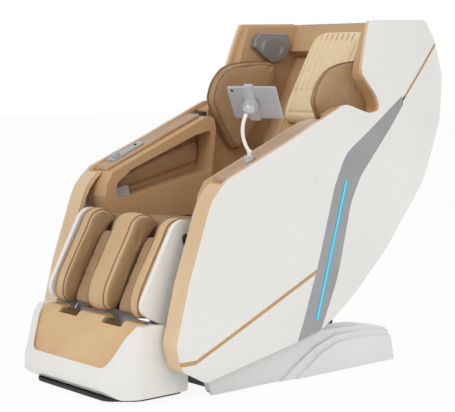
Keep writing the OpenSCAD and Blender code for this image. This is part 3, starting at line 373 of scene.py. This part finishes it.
slotFinish = {
    "white_shell": "whitePanel", "white_base": "basePaint", "tan_leather": "tanLeather",
    "brown_leather": "brownLeather", "cream_leather": "creamLeather", "gold_trim": "goldPaint",
    "grey_bar": "greyBar", "cyan_lens": "lightLens", "steel_frame": "darkSteel", "bright_steel": "brightSteel",
    "rubber": "rubberBlack", "black_plastic": "blackPlastic", "silver_plastic": "silverPlastic",
    "wood_top": "woodVeneer", "tan_moulding": "tanSkin", "tablet_back": "tabletMetal",
    # black plastic on the foot sole's slot is painted shade: it stands in for the shaded underside of the foot
    # unit
    "dark_sole": "blackPlastic",
}
print("materials ready")


# ---- mesh helpers ----
softAngle = 3  # above this edge angle an edge is shaded sharp, so a pad has none
widestRow = 8  # the row of a lofted pad that runs along its rim


def addPiece(name, mesh, body, finishes, replaced=()):
    piece = bpy.data.objects.new(name, mesh)
    bpy.context.scene.collection.objects.link(piece)
    for f in finishes:
        mesh.materials.append(finish[f])
    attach(piece, body)
    if replaced:
        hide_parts(*replaced)
    return piece


def fromBmesh(name, bm, smoothAngle=0.6):
    bmesh.ops.recalc_face_normals(bm, faces=bm.faces)
    for face in bm.faces:
        face.smooth = True
    for edge in bm.edges:
        if len(edge.link_faces) == 2 and edge.calc_face_angle(0) > smoothAngle:
            edge.smooth = False
    mesh = bpy.data.meshes.new(name)
    bm.to_mesh(mesh)
    bm.free()
    return mesh


rounding = {"sharpAngle": 0.42, "flatAngle": 0.012, "weld": 1e-5, "weldAfter": 2e-6, "shadeAngle": 0.7}


def roundedCopy(node, width, name=None, finishes=None, segments=2):
    # the same solid with its sharp edges rounded
    bm = bmesh.new()
    bm.from_mesh(frame["nodes"][node].data)
    bmesh.ops.remove_doubles(bm, verts=bm.verts, dist=rounding["weld"])
    bmesh.ops.dissolve_limit(bm, angle_limit=rounding["flatAngle"], verts=bm.verts, edges=bm.edges)
    work = bpy.data.objects.new(node + "Work", fromBmesh(node, bm, 10))
    bpy.context.scene.collection.objects.link(work)
    mod = work.modifiers.new("round", "BEVEL")
    mod.width = width
    mod.segments = segments
    mod.limit_method = "ANGLE"
    mod.angle_limit = rounding["sharpAngle"]
    mod.use_clamp_overlap = True
    mod.harden_normals = False
    graph = bpy.context.evaluated_depsgraph_get()
    done = bpy.data.meshes.new_from_object(work.evaluated_get(graph))
    bpy.data.objects.remove(work)
    bm = bmesh.new()
    bm.from_mesh(done)
    bmesh.ops.remove_doubles(bm, verts=bm.verts, dist=rounding["weldAfter"])
    done = fromBmesh(name or node, bm, rounding["shadeAngle"])
    piece = addPiece(name or node + "Shape", done, bodyOf[node],
                     finishes or [slotFinish[slotOf[node]]], (node,))
    weigh = piece.modifiers.new("shade", "WEIGHTED_NORMAL")
    weigh.keep_sharp = True
    return piece


def resample(points, count, closed=True):
    pts = [Vector(p) for p in points]
    if closed:
        pts = pts + [pts[0]]
    lengths = [0.0]
    for a, b in zip(pts, pts[1:]):
        lengths.append(lengths[-1] + (b - a).length)
    total = lengths[-1]
    out = []
    steps = count if closed else count - 1
    k = 0
    for i in range(count):
        want = total * i / steps
        while k < len(lengths) - 2 and lengths[k + 1] < want:
            k += 1
        span = lengths[k + 1] - lengths[k]
        f = 0 if span == 0 else (want - lengths[k]) / span
        out.append(pts[k].lerp(pts[k + 1], min(1, f)))
    return out


def relaxed(points, times):
    for _ in range(times):
        n = len(points)
        points = [(points[i - 1] + points[i] * 2 + points[(i + 1) % n]) / 4 for i in range(n)]
    return points


def inward(points, distance):
    # each point of a closed outline moved towards its inside
    n = len(points)
    area = sum(points[i - 1].x * points[i].y - points[i].x * points[i - 1].y for i in range(n))
    sign = 1 if area > 0 else -1
    out = []
    for i in range(n):
        t = (points[(i + 1) % n] - points[i - 1]).normalized()
        out.append(points[i] + Vector((-t.y, t.x)) * sign * distance)
    return out


def tubeMesh(name, paths, radius, sides=8, closed=True):
    bm = bmesh.new()
    for path in paths:
        pts = [Vector(p) for p in path]
        n = len(pts)
        rings = []
        normal = None
        for i in range(n):
            if closed:
                t = (pts[(i + 1) % n] - pts[i - 1]).normalized()
            else:
                t = (pts[min(i + 1, n - 1)] - pts[max(i - 1, 0)]).normalized()
            if normal is None:
                normal = t.orthogonal().normalized()
            normal = (normal - t * normal.dot(t)).normalized()
            side = t.cross(normal)
            rings.append([bm.verts.new(pts[i] + (normal * math.cos(a) + side * math.sin(a)) * radius)
                          for a in [2 * math.pi * k / sides for k in range(sides)]])
        last = n if closed else n - 1
        for i in range(last):
            a, b = rings[i], rings[(i + 1) % n]
            turn = 0
            if closed and i == n - 1:
                turn = min(range(sides), key=lambda s: (b[s].co - a[0].co).length)
            for k in range(sides):
                bm.faces.new((a[k], a[(k + 1) % sides], b[(k + 1 + turn) % sides], b[(k + turn) % sides]))
        if not closed:
            bm.faces.new(rings[0][::-1])
            bm.faces.new(rings[-1])
    return fromBmesh(name, bm, 1.2)


def stitchMesh(name, paths, step=0.006, length=0.0038, radius=0.0006):
    bm = bmesh.new()
    for path in paths:
        pts = [Vector(p) for p in path]
        total = sum((b - a).length for a, b in zip(pts, pts[1:]))
        count = max(2, int(total / step))
        dense = resample(pts, count, closed=False)
        for a, b in zip(dense, dense[1:]):
            t = (b - a)
            if t.length < 1e-6:
                continue
            t.normalize()
            mid = (a + b) / 2
            n1 = t.orthogonal().normalized()
            n2 = t.cross(n1)
            ends = [bm.verts.new(mid - t * length / 2), bm.verts.new(mid + t * length / 2)]
            waist = [bm.verts.new(mid + (n1 * math.cos(q) + n2 * math.sin(q)) * radius)
                     for q in (0, math.pi / 2, math.pi, math.pi * 1.5)]
            for k in range(4):
                bm.faces.new((ends[0], waist[(k + 1) % 4], waist[k]))
                bm.faces.new((ends[1], waist[k], waist[(k + 1) % 4]))
    return fromBmesh(name, bm, softAngle)


rollAngles = [math.radians(a) for a in (90, 68, 45, 24)]
crownSteps = (0.82, 0.6, 0.36, 0.14)
bandRows = range(5, 11)  # rows of the rolled edge that take a pad's second leather


def loftPad(name, outline, thick, roll, crown, place, backShare=0.35, count=84, soften=3, bandFinish=False):
    # a stuffed pad: outline in its own plane, rolled edges and a crowned face; returns the mesh and its rows
    base = relaxed(resample([Vector(p) for p in outline], count), soften)
    split = thick * backShare

    def side(angles, top):
        span = (thick - split) if top else split
        r = roll if top else min(roll, roll * max(0.35, backShare * 1.6))
        for q in angles:
            d = r * (1 - math.cos(q))
            h = span * math.sin(q) * (1 - crown)
            yield inward(base, d), (split + h if top else split - h)
    rings = [*side(rollAngles, False), (base, split), *side(rollAngles[::-1], True)]
    centre = sum(base, Vector((0, 0))) / count
    inner, height = rings[-1]
    rise = (thick - split) * crown
    top = [([centre + (p - centre) * s for p in inner], height + rise * (1 - s ** 2))
           for s in crownSteps]
    inner, height = rings[0]
    drop = split * crown if backShare > 0.45 else 0
    low = [([centre + (p - centre) * s for p in inner], height - drop * (1 - s ** 2))
           for s in crownSteps[::-1]]
    rings = low + rings + top
    bm = bmesh.new()
    rows = [[bm.verts.new(place @ Vector((p.x, p.y, h))) for p in ring] for ring, h in rings]
    for r, (a, b) in enumerate(zip(rows, rows[1:])):
        for k in range(count):
            face = bm.faces.new((a[k], a[(k + 1) % count], b[(k + 1) % count], b[k]))
            if bandFinish and r in bandRows:
                face.material_index = 1
    bm.faces.new(rows[0][::-1])
    bm.faces.new(rows[-1])
    return fromBmesh(name, bm, softAngle), rings


air = {"tension": 12, "bending": 1.2, "quality": 4, "frames": 14}


def swell(piece, cap, pressure=4.0):
    # fills the pad with air as cloth, never further than cap, and keeps the result
    start = [v.co.copy() for v in piece.data.vertices]
    mod = piece.modifiers.new("fill", "CLOTH")
    mod.settings.use_pressure = True
    mod.settings.uniform_pressure_force = pressure
    mod.settings.effector_weights.gravity = 0
    mod.settings.tension_stiffness = air["tension"]
    mod.settings.bending_stiffness = air["bending"]
    mod.settings.quality = air["quality"]
    scene = bpy.context.scene
    for f in range(1, air["frames"] + 1):
        scene.frame_set(f)
    graph = bpy.context.evaluated_depsgraph_get()
    moved = [v.co.copy() for v in piece.evaluated_get(graph).data.vertices]
    piece.modifiers.remove(mod)
    scene.frame_set(1)
    for v, a, b in zip(piece.data.vertices, start, moved):
        step = b - a
        if step.length > cap:
            step = step.normalized() * cap
        v.co = a + step
    piece.data.update()


def gridPad(name, width, length, thick, rim, place, nx, ny, crown=0.12, corner=0.05, relief=None,
            edgeBand=None, taper=0.0):
    # a stuffed cushion on a grid, rim seam at height rim; relief(x, y) cuts seams and sewn channels
    bm = bmesh.new()

    def at(k, n):
        s = 2 * k / n - 1
        return math.copysign(1 - (1 - abs(s)) ** 1.35, s)

    def spot(u, v):
        x = width / 2 * u * (1 - corner * abs(v) ** 8) * (1 - taper * v)
        y = length / 2 * v * (1 - corner * 0.7 * abs(u) ** 8)
        return x, y

    def edge(u, v):
        return ((1 - abs(u) ** 7) * (1 - abs(v) ** 7)) ** 0.42  # a square shape with a round shoulder
    top, low = {}, {}
    for j in range(ny + 1):
        for i in range(nx + 1):
            u, v = at(i, nx), at(j, ny)
            x, y = spot(u, v)
            e = edge(u, v)
            puffed = (1 - crown) + crown * math.cos(u * math.pi / 2) * math.cos(v * math.pi / 2)
            z = rim + (thick - rim) * e * puffed
            if relief and e > 0.3:
                z -= relief(x, y) * min(1, (e - 0.3) * 3)
            top[i, j] = bm.verts.new(place @ Vector((x, y, z)))
            if i in (0, nx) or j in (0, ny):
                low[i, j] = top[i, j]
            else:
                low[i, j] = bm.verts.new(place @ Vector((x, y, rim * (1 - min(1, e * 1.4)))))
    for j in range(ny):
        for i in range(nx):
            face = bm.faces.new((top[i, j], top[i + 1, j], top[i + 1, j + 1], top[i, j + 1]))
            if edgeBand and abs(at(i + 0.5, nx)) > edgeBand:
                face.material_index = 1
            face = bm.faces.new((low[i, j + 1], low[i + 1, j + 1], low[i + 1, j], low[i, j]))
            face.material_index = 1 if edgeBand else 0
    return fromBmesh(name, bm, softAngle), spot


def rimOf(place, spot, height, steps=40):
    # the seam line round a grid pad
    line = [-1 + 2 * k / steps for k in range(steps)]
    loop = ([(u, -1) for u in line] + [(1, v) for v in line]
            + [(-u, 1) for u in line] + [(-1, -v) for v in line])
    return [place @ Vector((*spot(u, v), height)) for u, v in loop]


def grooveAt(value, centre, half, depth):
    k = abs(value - centre) / half
    return depth * (1 - k * k) ** 2 if k < 1 else 0.0


def planeYZ(x, direction):
    # outline's first number along Y, second up Z, thickness along X from x
    return Matrix(((0, 0, direction, x), (1, 0, 0, 0), (0, 1, 0, 0), (0, 0, 0, 1)))


# ---- hard shells: each solid again with rounded edges ----
shellRounding = {
    "left_side_panel": 0.0024, "right_side_panel": 0.0024, "lower_panels": 0.002, "rear_panels": 0.0022,
    "back_cover": 0.0016, "light_bars": 0.001, "gold_trims": 0.0008, "edge_bands": 0.0016, "inner_liners": 0.0012,
    "hood_crown": 0.0015, "armrests": 0.006, "arm_tops": 0.0045, "hand_grips": 0.004, "remote_pad": 0.0018,
    "remote_knob": 0.0014, "start_button": 0.0008, "holder_socket": 0.002, "tablet": 0.0028,
    "tablet_clamp": 0.0012, "clamp_jaw": 0.001, "calf_covers": 0.007, "foot_shell": 0.012, "foot_apron": 0.002,
    "foot_lining": 0.006, "foot_sole": 0.004, "base_shell": 0.004, "speakers": 0.004, "power_box": 0.002,
    "power_switch": 0.0004, "mains_inlet": 0.0006, "base_feet": 0.003, "air_pump": 0.003,
    "massage_carriage": 0.0012, "slide_carriage": 0.001,
}
shellFinish = {"edge_bands": ["goldPaint"], "gold_trims": ["trimGold"], "foot_apron": ["apronLeather"],
               "foot_lining": ["brownLeather"], "speakers": ["speakerGrey"]}
for node, width in shellRounding.items():
    roundedCopy(node, width, finishes=shellFinish.get(node), segments=3 if width >= 0.004 else 2)
print("shells ready")

for node, solid in frame["nodes"].items():
    solid.data.materials.clear()
    solid.data.materials.append(finish[slotFinish[slotOf[node]]])
print("carried-over pieces painted")


# ---- shared places ----
lean = math.radians(29.2)
backDir = Vector((0, math.sin(lean), math.cos(lean)))
backOut = Vector((0, math.cos(lean), -math.sin(lean)))
faceLow = Vector((0, 0.365, 0.850))
pillowThick = 0.058
cushionRear = faceLow + backOut * (pillowThick + 0.001) + backOut * 0.056


def backPlace(start, up):
    # local X across, local Y up the back, local Z towards the sitter
    return Matrix.Translation(start + backDir * up) @ Matrix.Rotation(math.pi / 2 - lean, 4, "X")


# ---- seat and back cushions ----
seatPad = {"width": 0.464, "length": 0.537, "thick": 0.084, "rim": 0.03, "grid": 64, "swell": 0.004,
           "front": (-0.326, 0.388), "rear": (0.214, 0.462), "middle": (-0.056, 0.4254)}
backPad = {"width": 0.440, "length": 0.690, "thick": 0.058, "rim": 0.02, "grid": (110, 46), "channels": 6,
           "channelDepth": 0.0045, "channelSpan": 0.78, "topUp": 0.306, "clear": 0.0004}
skirt = {"place": (0, -0.330, 0.506), "width": 0.500, "drop": 0.060, "thick": 0.006}


def addSeat():
    (frontY, frontZ), (rearY, rearZ) = seatPad["front"], seatPad["rear"]
    slope = math.atan2(rearZ - frontZ, rearY - frontY)
    place = Matrix.Translation((0, *seatPad["middle"])) @ Matrix.Rotation(-slope, 4, "X")
    w, l, grid = seatPad["width"], seatPad["length"], seatPad["grid"]

    def relief(x, y):
        r = grooveAt(abs(x), w * 0.33, 0.007, 0.005) if abs(y) < l * 0.42 else 0
        return r + (grooveAt(abs(y + l * 0.02), l * 0.4, 0.007, 0.004) if abs(x) < w * 0.33 else 0)
    mesh, spot = gridPad("seatCushion", w, l, seatPad["thick"], seatPad["rim"], place, grid, grid, 0.16,
                         relief=relief)
    piece = addPiece("seatCushion", mesh, "seat", ["brownLeather"], ("seat_cushion",))
    swell(piece, seatPad["swell"])
    rim = rimOf(place, spot, seatPad["rim"])
    addPiece("seatPiping", tubeMesh("seatPiping", [rim], 0.0028), "seat", ["tanLeather"])


def addBack():
    w, l, t = backPad["width"], backPad["length"], backPad["thick"]
    place = backPlace(cushionRear - backOut * backPad["clear"], backPad["topUp"] - l / 2)
    span, count, depth = backPad["channelSpan"], backPad["channels"], backPad["channelDepth"]
    lines = [(-span / 2 + span * k / count) * w for k in range(count + 1)]

    def relief(x, y):
        if abs(y) > l * 0.45:
            return 0
        return max(grooveAt(x, c, 0.008, depth) for c in lines)
    mesh, _ = gridPad("backCushion", w, l, t, backPad["rim"], place, *backPad["grid"], 0.12, relief=relief)
    piece = addPiece("backCushion", mesh, "seat", ["tanLeather"], ("back_cushion",))
    high = t * 0.925 - depth + 0.0002
    paths = [[place @ Vector((c, -l * 0.44 + l * 0.88 * k / 30, high)) for k in range(31)] for c in lines]
    addPiece("backStitches", stitchMesh("backStitches", paths), "seat", ["threadTan"])


def addSkirt():
    # leather curtain in front of the seat deck, behind the calf cushions
    place = Matrix.Translation(skirt["place"]) @ Matrix.Rotation(math.pi / 2, 4, "X")
    t = skirt["thick"]
    mesh, _ = gridPad("seatSkirt", skirt["width"], skirt["drop"], t, t / 2, place, 40, 8, 0.1)
    addPiece("seatSkirt", mesh, "seat", ["brownLeather"])


addSeat()
addBack()
addSkirt()
print("seat and back cushions ready")


# ---- headrest pillow ----
pillow = {"width": 0.274, "height": 0.372, "rim": 0.020, "taper": 0.04, "swell": 0.0014, "channels": 7,
          "channelDepth": 0.0056, "panelFoot": -0.072, "borderShare": 0.40, "headShare": 0.455,
          "tailShare": 0.43}


def addPillow():
    w, l, t = pillow["width"], pillow["height"], pillowThick
    place = backPlace(faceLow + backOut * t, l / 2)
    half = w * pillow["borderShare"]
    lines = [-half + 2 * half * (k + 1) / (pillow["channels"] + 1) for k in range(pillow["channels"])]
    foot, headLine, tailLine = pillow["panelFoot"], l * pillow["headShare"], -l * pillow["tailShare"]

    def relief(x, y):
        r = 0
        if foot < y < headLine:
            r = max(grooveAt(x, c, 0.0085, pillow["channelDepth"]) for c in lines)
        r = max(r, grooveAt(abs(x), half, 0.008, 0.0062) if tailLine < y < headLine else 0)
        if abs(x) < half:
            r = max(r, grooveAt(y, foot, 0.008, 0.0064), grooveAt(y, headLine, 0.008, 0.006),
                    grooveAt(y, tailLine, 0.008, 0.006))
        return r
    mesh, spot = gridPad("headPillow", w, l, t, pillow["rim"], place, 132, 96, 0.1, corner=0.07, relief=relief,
                         edgeBand=0.9, taper=pillow["taper"])
    piece = addPiece("headPillow", mesh, "pillow", ["creamLeather", "tanLeather"],
                     ("headrest_pillow",))
    swell(piece, pillow["swell"], 2.0)
    rim = rimOf(place, spot, pillow["rim"])
    addPiece("pillowPiping", tubeMesh("pillowPiping", [rim], 0.0026), "pillow", ["tanLeather"])

    def sewnLines(columns, lift):
        # up each channel, then across the foot of the sewn panel
        rise = [foot + (headLine - foot) * k / 24 for k in range(25)]
        paths = [[place @ Vector((c * (1 - pillow["taper"] * y / (l / 2)), y, lift)) for y in rise]
                 for c in columns]
        return paths + [[place @ Vector((-half + 2 * half * k / 24, foot, lift)) for k in range(25)]]
    lift = t * 0.93 - pillow["channelDepth"] + 0.0014
    seams = tubeMesh("pillowSeams", sewnLines(lines, lift - 0.0006), 0.0009, 6, closed=False)
    addPiece("pillowSeams", seams, "pillow", ["pipingBrown"])
    stitches = stitchMesh("pillowStitches", sewnLines(lines + [-half, half], lift), 0.0055, 0.0036, 0.0005)
    addPiece("pillowStitches", stitches, "pillow", ["threadCream"])


addPillow()
print("pillow ready")


# ---- shoulder pads ----
shoulder = {"outline": [(0.470, 1.050), (0.398, 1.054), (0.330, 1.052), (0.262, 1.044), (0.208, 1.028),
                        (0.162, 0.978), (0.140, 0.915), (0.175, 0.845), (0.226, 0.768), (0.262, 0.724),
                        (0.292, 0.728), (0.330, 0.760), (0.392, 0.838), (0.442, 0.905), (0.472, 0.985)],
            "thick": 0.048, "x": 0.2934, "roll": 0.020, "swell": 0.003, "pipingIn": 0.012, "pipingRow": 11}


def addShoulders():
    for side, tag in ((1, "Left"), (-1, "Right")):
        place = planeYZ(side * shoulder["x"], -side)
        mesh, rings = loftPad("shoulder" + tag, shoulder["outline"], shoulder["thick"], shoulder["roll"], 0.14,
                              place, 0.34)
        piece = addPiece("shoulder" + tag, mesh, "seat", ["brownLeather"],
                         ("shoulder_pads",) if side == 1 else ())
        swell(piece, shoulder["swell"])
        rim, height = rings[widestRow]
        ringRim = [place @ Vector((p.x, p.y, height)) for p in rim]
        high = rings[shoulder["pipingRow"]][1] - 0.001
        ringFace = [place @ Vector((p.x, p.y, high)) for p in inward(rim, shoulder["pipingIn"])]
        piping = tubeMesh("shoulderPiping" + tag, [ringRim, ringFace], 0.0026)
        addPiece("shoulderPiping" + tag, piping, "seat", ["pipingBrown"])


addShoulders()
print("shoulder pads ready")


# ---- arms ----
arms = {"padOutline": [(-0.252, 0.646), (-0.232, 0.604), (-0.05, 0.644), (0.124, 0.686), (0.128, 0.730),
                       (0.122, 0.770), (-0.05, 0.716)],
        "padThick": 0.034, "padX": 0.3352, "roll": 0.016}
# shelf above the arm pad: where it starts and ends along the arm, its height there and its slope
armLedge = {"start": -0.196, "length": 0.318, "low": 0.677, "lowAt": -0.200, "slope": 0.36, "steps": 12,
            "section": ((0.3354, 0), (0.312, 0), (0.309, 0.003), (0.312, 0.0065), (0.3354, 0.0065))}


def ledgeMesh(name, side):
    bm = bmesh.new()
    steps, section = armLedge["steps"], armLedge["section"]
    ledge = []
    for y in [armLedge["start"] + armLedge["length"] * k / steps for k in range(steps + 1)]:
        z = armLedge["low"] + armLedge["slope"] * (y - armLedge["lowAt"])
        for x, dz in section:
            ledge.append(bm.verts.new((side * x, y, z + dz)))
    n = len(section)
    for k in range(steps):
        for q in range(n):
            a, b = n * k + q, n * k + (q + 1) % n
            bm.faces.new((ledge[a], ledge[b], ledge[b + n], ledge[a + n]))
    bm.faces.new(ledge[:n])
    bm.faces.new(ledge[-n:][::-1])
    return fromBmesh(name, bm)


def addArmPads():
    for side, tag in ((1, "Left"), (-1, "Right")):
        place = planeYZ(side * arms["padX"], -side)
        mesh, rings = loftPad("armPad" + tag, arms["padOutline"], arms["padThick"], arms["roll"], 0.12, place,
                              0.3, count=72, soften=2)
        piece = addPiece("armPad" + tag, mesh, "seat", ["brownLeather"],
                         ("arm_pads",) if side == 1 else ())
        rim, height = rings[widestRow]
        piping = tubeMesh("armPiping" + tag, [[place @ Vector((p.x, p.y, height)) for p in rim]], 0.0026)
        addPiece("armPiping" + tag, piping, "seat", ["tanLeather"])
        addPiece("armLedge" + tag, ledgeMesh("armLedge" + tag, side), "seat", ["tanLeather"])


addArmPads()
print("arm pads ready")


# ---- calf unit ----
slant = math.radians(28.6)
knee = Matrix.Translation((0, -0.400, 0.500)) @ Matrix.Rotation(-slant, 4, "X")
calf = {"radius": 0.062, "rear": 0.028, "length": 0.285, "middle": 0.130, "outer": 0.060, "slabX": 0.175,
        "roll": 0.018, "swell": 0.0015, "pipingRows": (6, 10)}
calfBack = {"x": 0.120, "middle": -0.139, "width": 0.108, "length": 0.262, "thick": 0.036, "rim": 0.012,
            "creaseAt": 0.036}


def calfOutline():
    r, rear, l = calf["radius"], calf["rear"], calf["length"]
    arc = [(r * math.cos(math.radians(a)), r * math.sin(math.radians(a))) for a in range(196, 30, -12)]
    rest = [(rear, 0.020), (rear, -0.13), (rear, -l + 0.045), (rear - 0.012, -l + 0.012), (rear - 0.04, -l),
            (-0.012, -l), (-0.040, -l + 0.012), (-r + 0.006, -l + 0.045), (-r, -l + 0.08), (-r, -0.12)]
    return arc + rest


def addCalves():
    for tag, x, w, node in (("Left", calf["slabX"], calf["outer"], "left_calf_cushion"),
                            ("Middle", -calf["middle"] / 2, calf["middle"], "middle_calf_cushion"),
                            ("Right", -calf["slabX"] - calf["outer"], calf["outer"], "right_calf_cushion")):
        place = knee @ planeYZ(x, 1)
        mesh, rings = loftPad("calf" + tag, calfOutline(), w, calf["roll"], 0.1, place, 0.5, count=96, soften=2,
                              bandFinish=True)
        piece = addPiece("calf" + tag, mesh, "calf", ["brownLeather", "tanLeather"], (node,))
        swell(piece, calf["swell"], 2.0)
        paths = []
        for row in calf["pipingRows"]:
            ring, h = rings[row]
            paths.append([place @ Vector((p.x, p.y, h)) for p in ring])
        addPiece("calfPiping" + tag, tubeMesh("calfPiping" + tag, paths, 0.0022), "calf", ["pipingBrown"])
    for side, tag in ((1, "Left"), (-1, "Right")):
        start = Matrix.Translation((side * calfBack["x"], calf["rear"], calfBack["middle"]))
        place = knee @ start @ Matrix.Rotation(math.pi / 2, 4, "X")
        mesh, _ = gridPad("calfBack" + tag, calfBack["width"], calfBack["length"], calfBack["thick"],
                          calfBack["rim"], place, 28, 48, 0.18,
                          relief=lambda x, y: grooveAt(abs(y), calfBack["creaseAt"], 0.005, 0.003))
        piece = addPiece("calfBack" + tag, mesh, "calf", ["brownLeather"],
                         ("calf_back_pads",) if side == 1 else ())


addCalves()
print("calf cushions ready")


# ---- tablet holder details ----
holder = {"ball": (0.3216, -0.185, 0.9025112), "turn": 28, "tilt": 38, "ballRadius": 0.020,
          "spigotTop": 0.7542, "tabletW": 0.165, "tabletH": 0.128, "tabletShift": 0.010, "tabletBack": 0.028,
          "tabletT": 0.008, "screenEdge": 0.008, "screenThick": 0.0005, "lensAt": (-0.056, 0.05)}


def addHolder():
    ball = Vector(holder["ball"])
    place = (Matrix.Translation(ball) @ Matrix.Rotation(math.radians(holder["turn"]), 4, "Z")
             @ Matrix.Rotation(math.radians(holder["tilt"]), 4, "X"))
    neck = roundedCopy("gooseneck", 0.0006, "gooseneckShape", ["whitePanel", "silverPlastic"])
    for face in neck.data.polygons:
        near = (face.center - ball).length < holder["ballRadius"] * 1.03
        face.material_index = 1 if near or face.center.z < holder["spigotTop"] else 0
    edge = holder["screenEdge"]
    w, h = holder["tabletW"] / 2 - edge, holder["tabletH"] / 2 - edge
    y = holder["tabletBack"] + holder["tabletT"] + 0.0003
    bm = bmesh.new()
    bmesh.ops.create_grid(bm, x_segments=1, y_segments=1, size=1, matrix=Matrix.Diagonal((w, h, 1, 1)))
    made = bmesh.ops.extrude_face_region(bm, geom=bm.faces[:])
    bmesh.ops.translate(bm, vec=(0, 0, holder["screenThick"]),
                        verts=[v for v in made["geom"] if isinstance(v, bmesh.types.BMVert)])
    bmesh.ops.transform(bm, matrix=place @ Matrix.Translation((holder["tabletShift"], y, 0))
                        @ Matrix.Rotation(-math.pi / 2, 4, "X"), verts=bm.verts)
    addPiece("tabletScreen", fromBmesh("tabletScreen", bm), "tablet_head", ["screenGlass"])
    lensX, lensZ = holder["lensAt"]
    bm = bmesh.new()
    bmesh.ops.create_cone(bm, cap_ends=True, segments=28, radius1=0.005, radius2=0.0042, depth=0.0012,
                          matrix=place @ Matrix.Translation((lensX, holder["tabletBack"] - 0.0004, lensZ))
                          @ Matrix.Rotation(math.pi / 2, 4, "X"))
    addPiece("tabletLens", fromBmesh("tabletLens", bm), "tablet_head", ["screenGlass"])


addHolder()
print("tablet holder ready")


# ---- hood details: speaker faces ----
speaker = {"x": 0.268, "centre": (0.462, 1.104), "rings": 5, "pitch": 0.0068, "hole": 0.0013, "stretch": 1.4,
           "rimRadii": (0.036, 0.036 * 1.16), "rimStretch": 1.25}


def addSpeakerFaces():
    midY, midZ = speaker["centre"]
    bm = bmesh.new()
    for side in (1, -1):
        for ring in range(speaker["rings"]):
            radius = ring * speaker["pitch"]
            count = max(1, ring * 6)
            for k in range(count):
                a = 2 * math.pi * k / count
                y = midY + radius * math.cos(a) * speaker["stretch"]
                z = midZ + radius * math.sin(a)
                bmesh.ops.create_cone(bm, cap_ends=True, segments=10, radius1=speaker["hole"],
                                      radius2=speaker["hole"], depth=0.0006,
                                      matrix=Matrix.Translation((side * speaker["x"], y, z))
                                      @ Matrix.Rotation(math.pi / 2, 4, "Y"))
    addPiece("speakerHoles", fromBmesh("speakerHoles", bm), "seat", ["blackPlastic"])
    angles = [2 * math.pi * k / 48 for k in range(48)]
    rims = [[(side * speaker["x"], midY + radius * speaker["rimStretch"] * math.cos(a),
              midZ + radius * math.sin(a)) for a in angles]
            for side in (1, -1) for radius in speaker["rimRadii"]]
    addPiece("speakerRings", tubeMesh("speakerRings", rims, 0.0011, 6), "seat", ["brightSteel"])


addSpeakerFaces()
print("speaker faces ready")
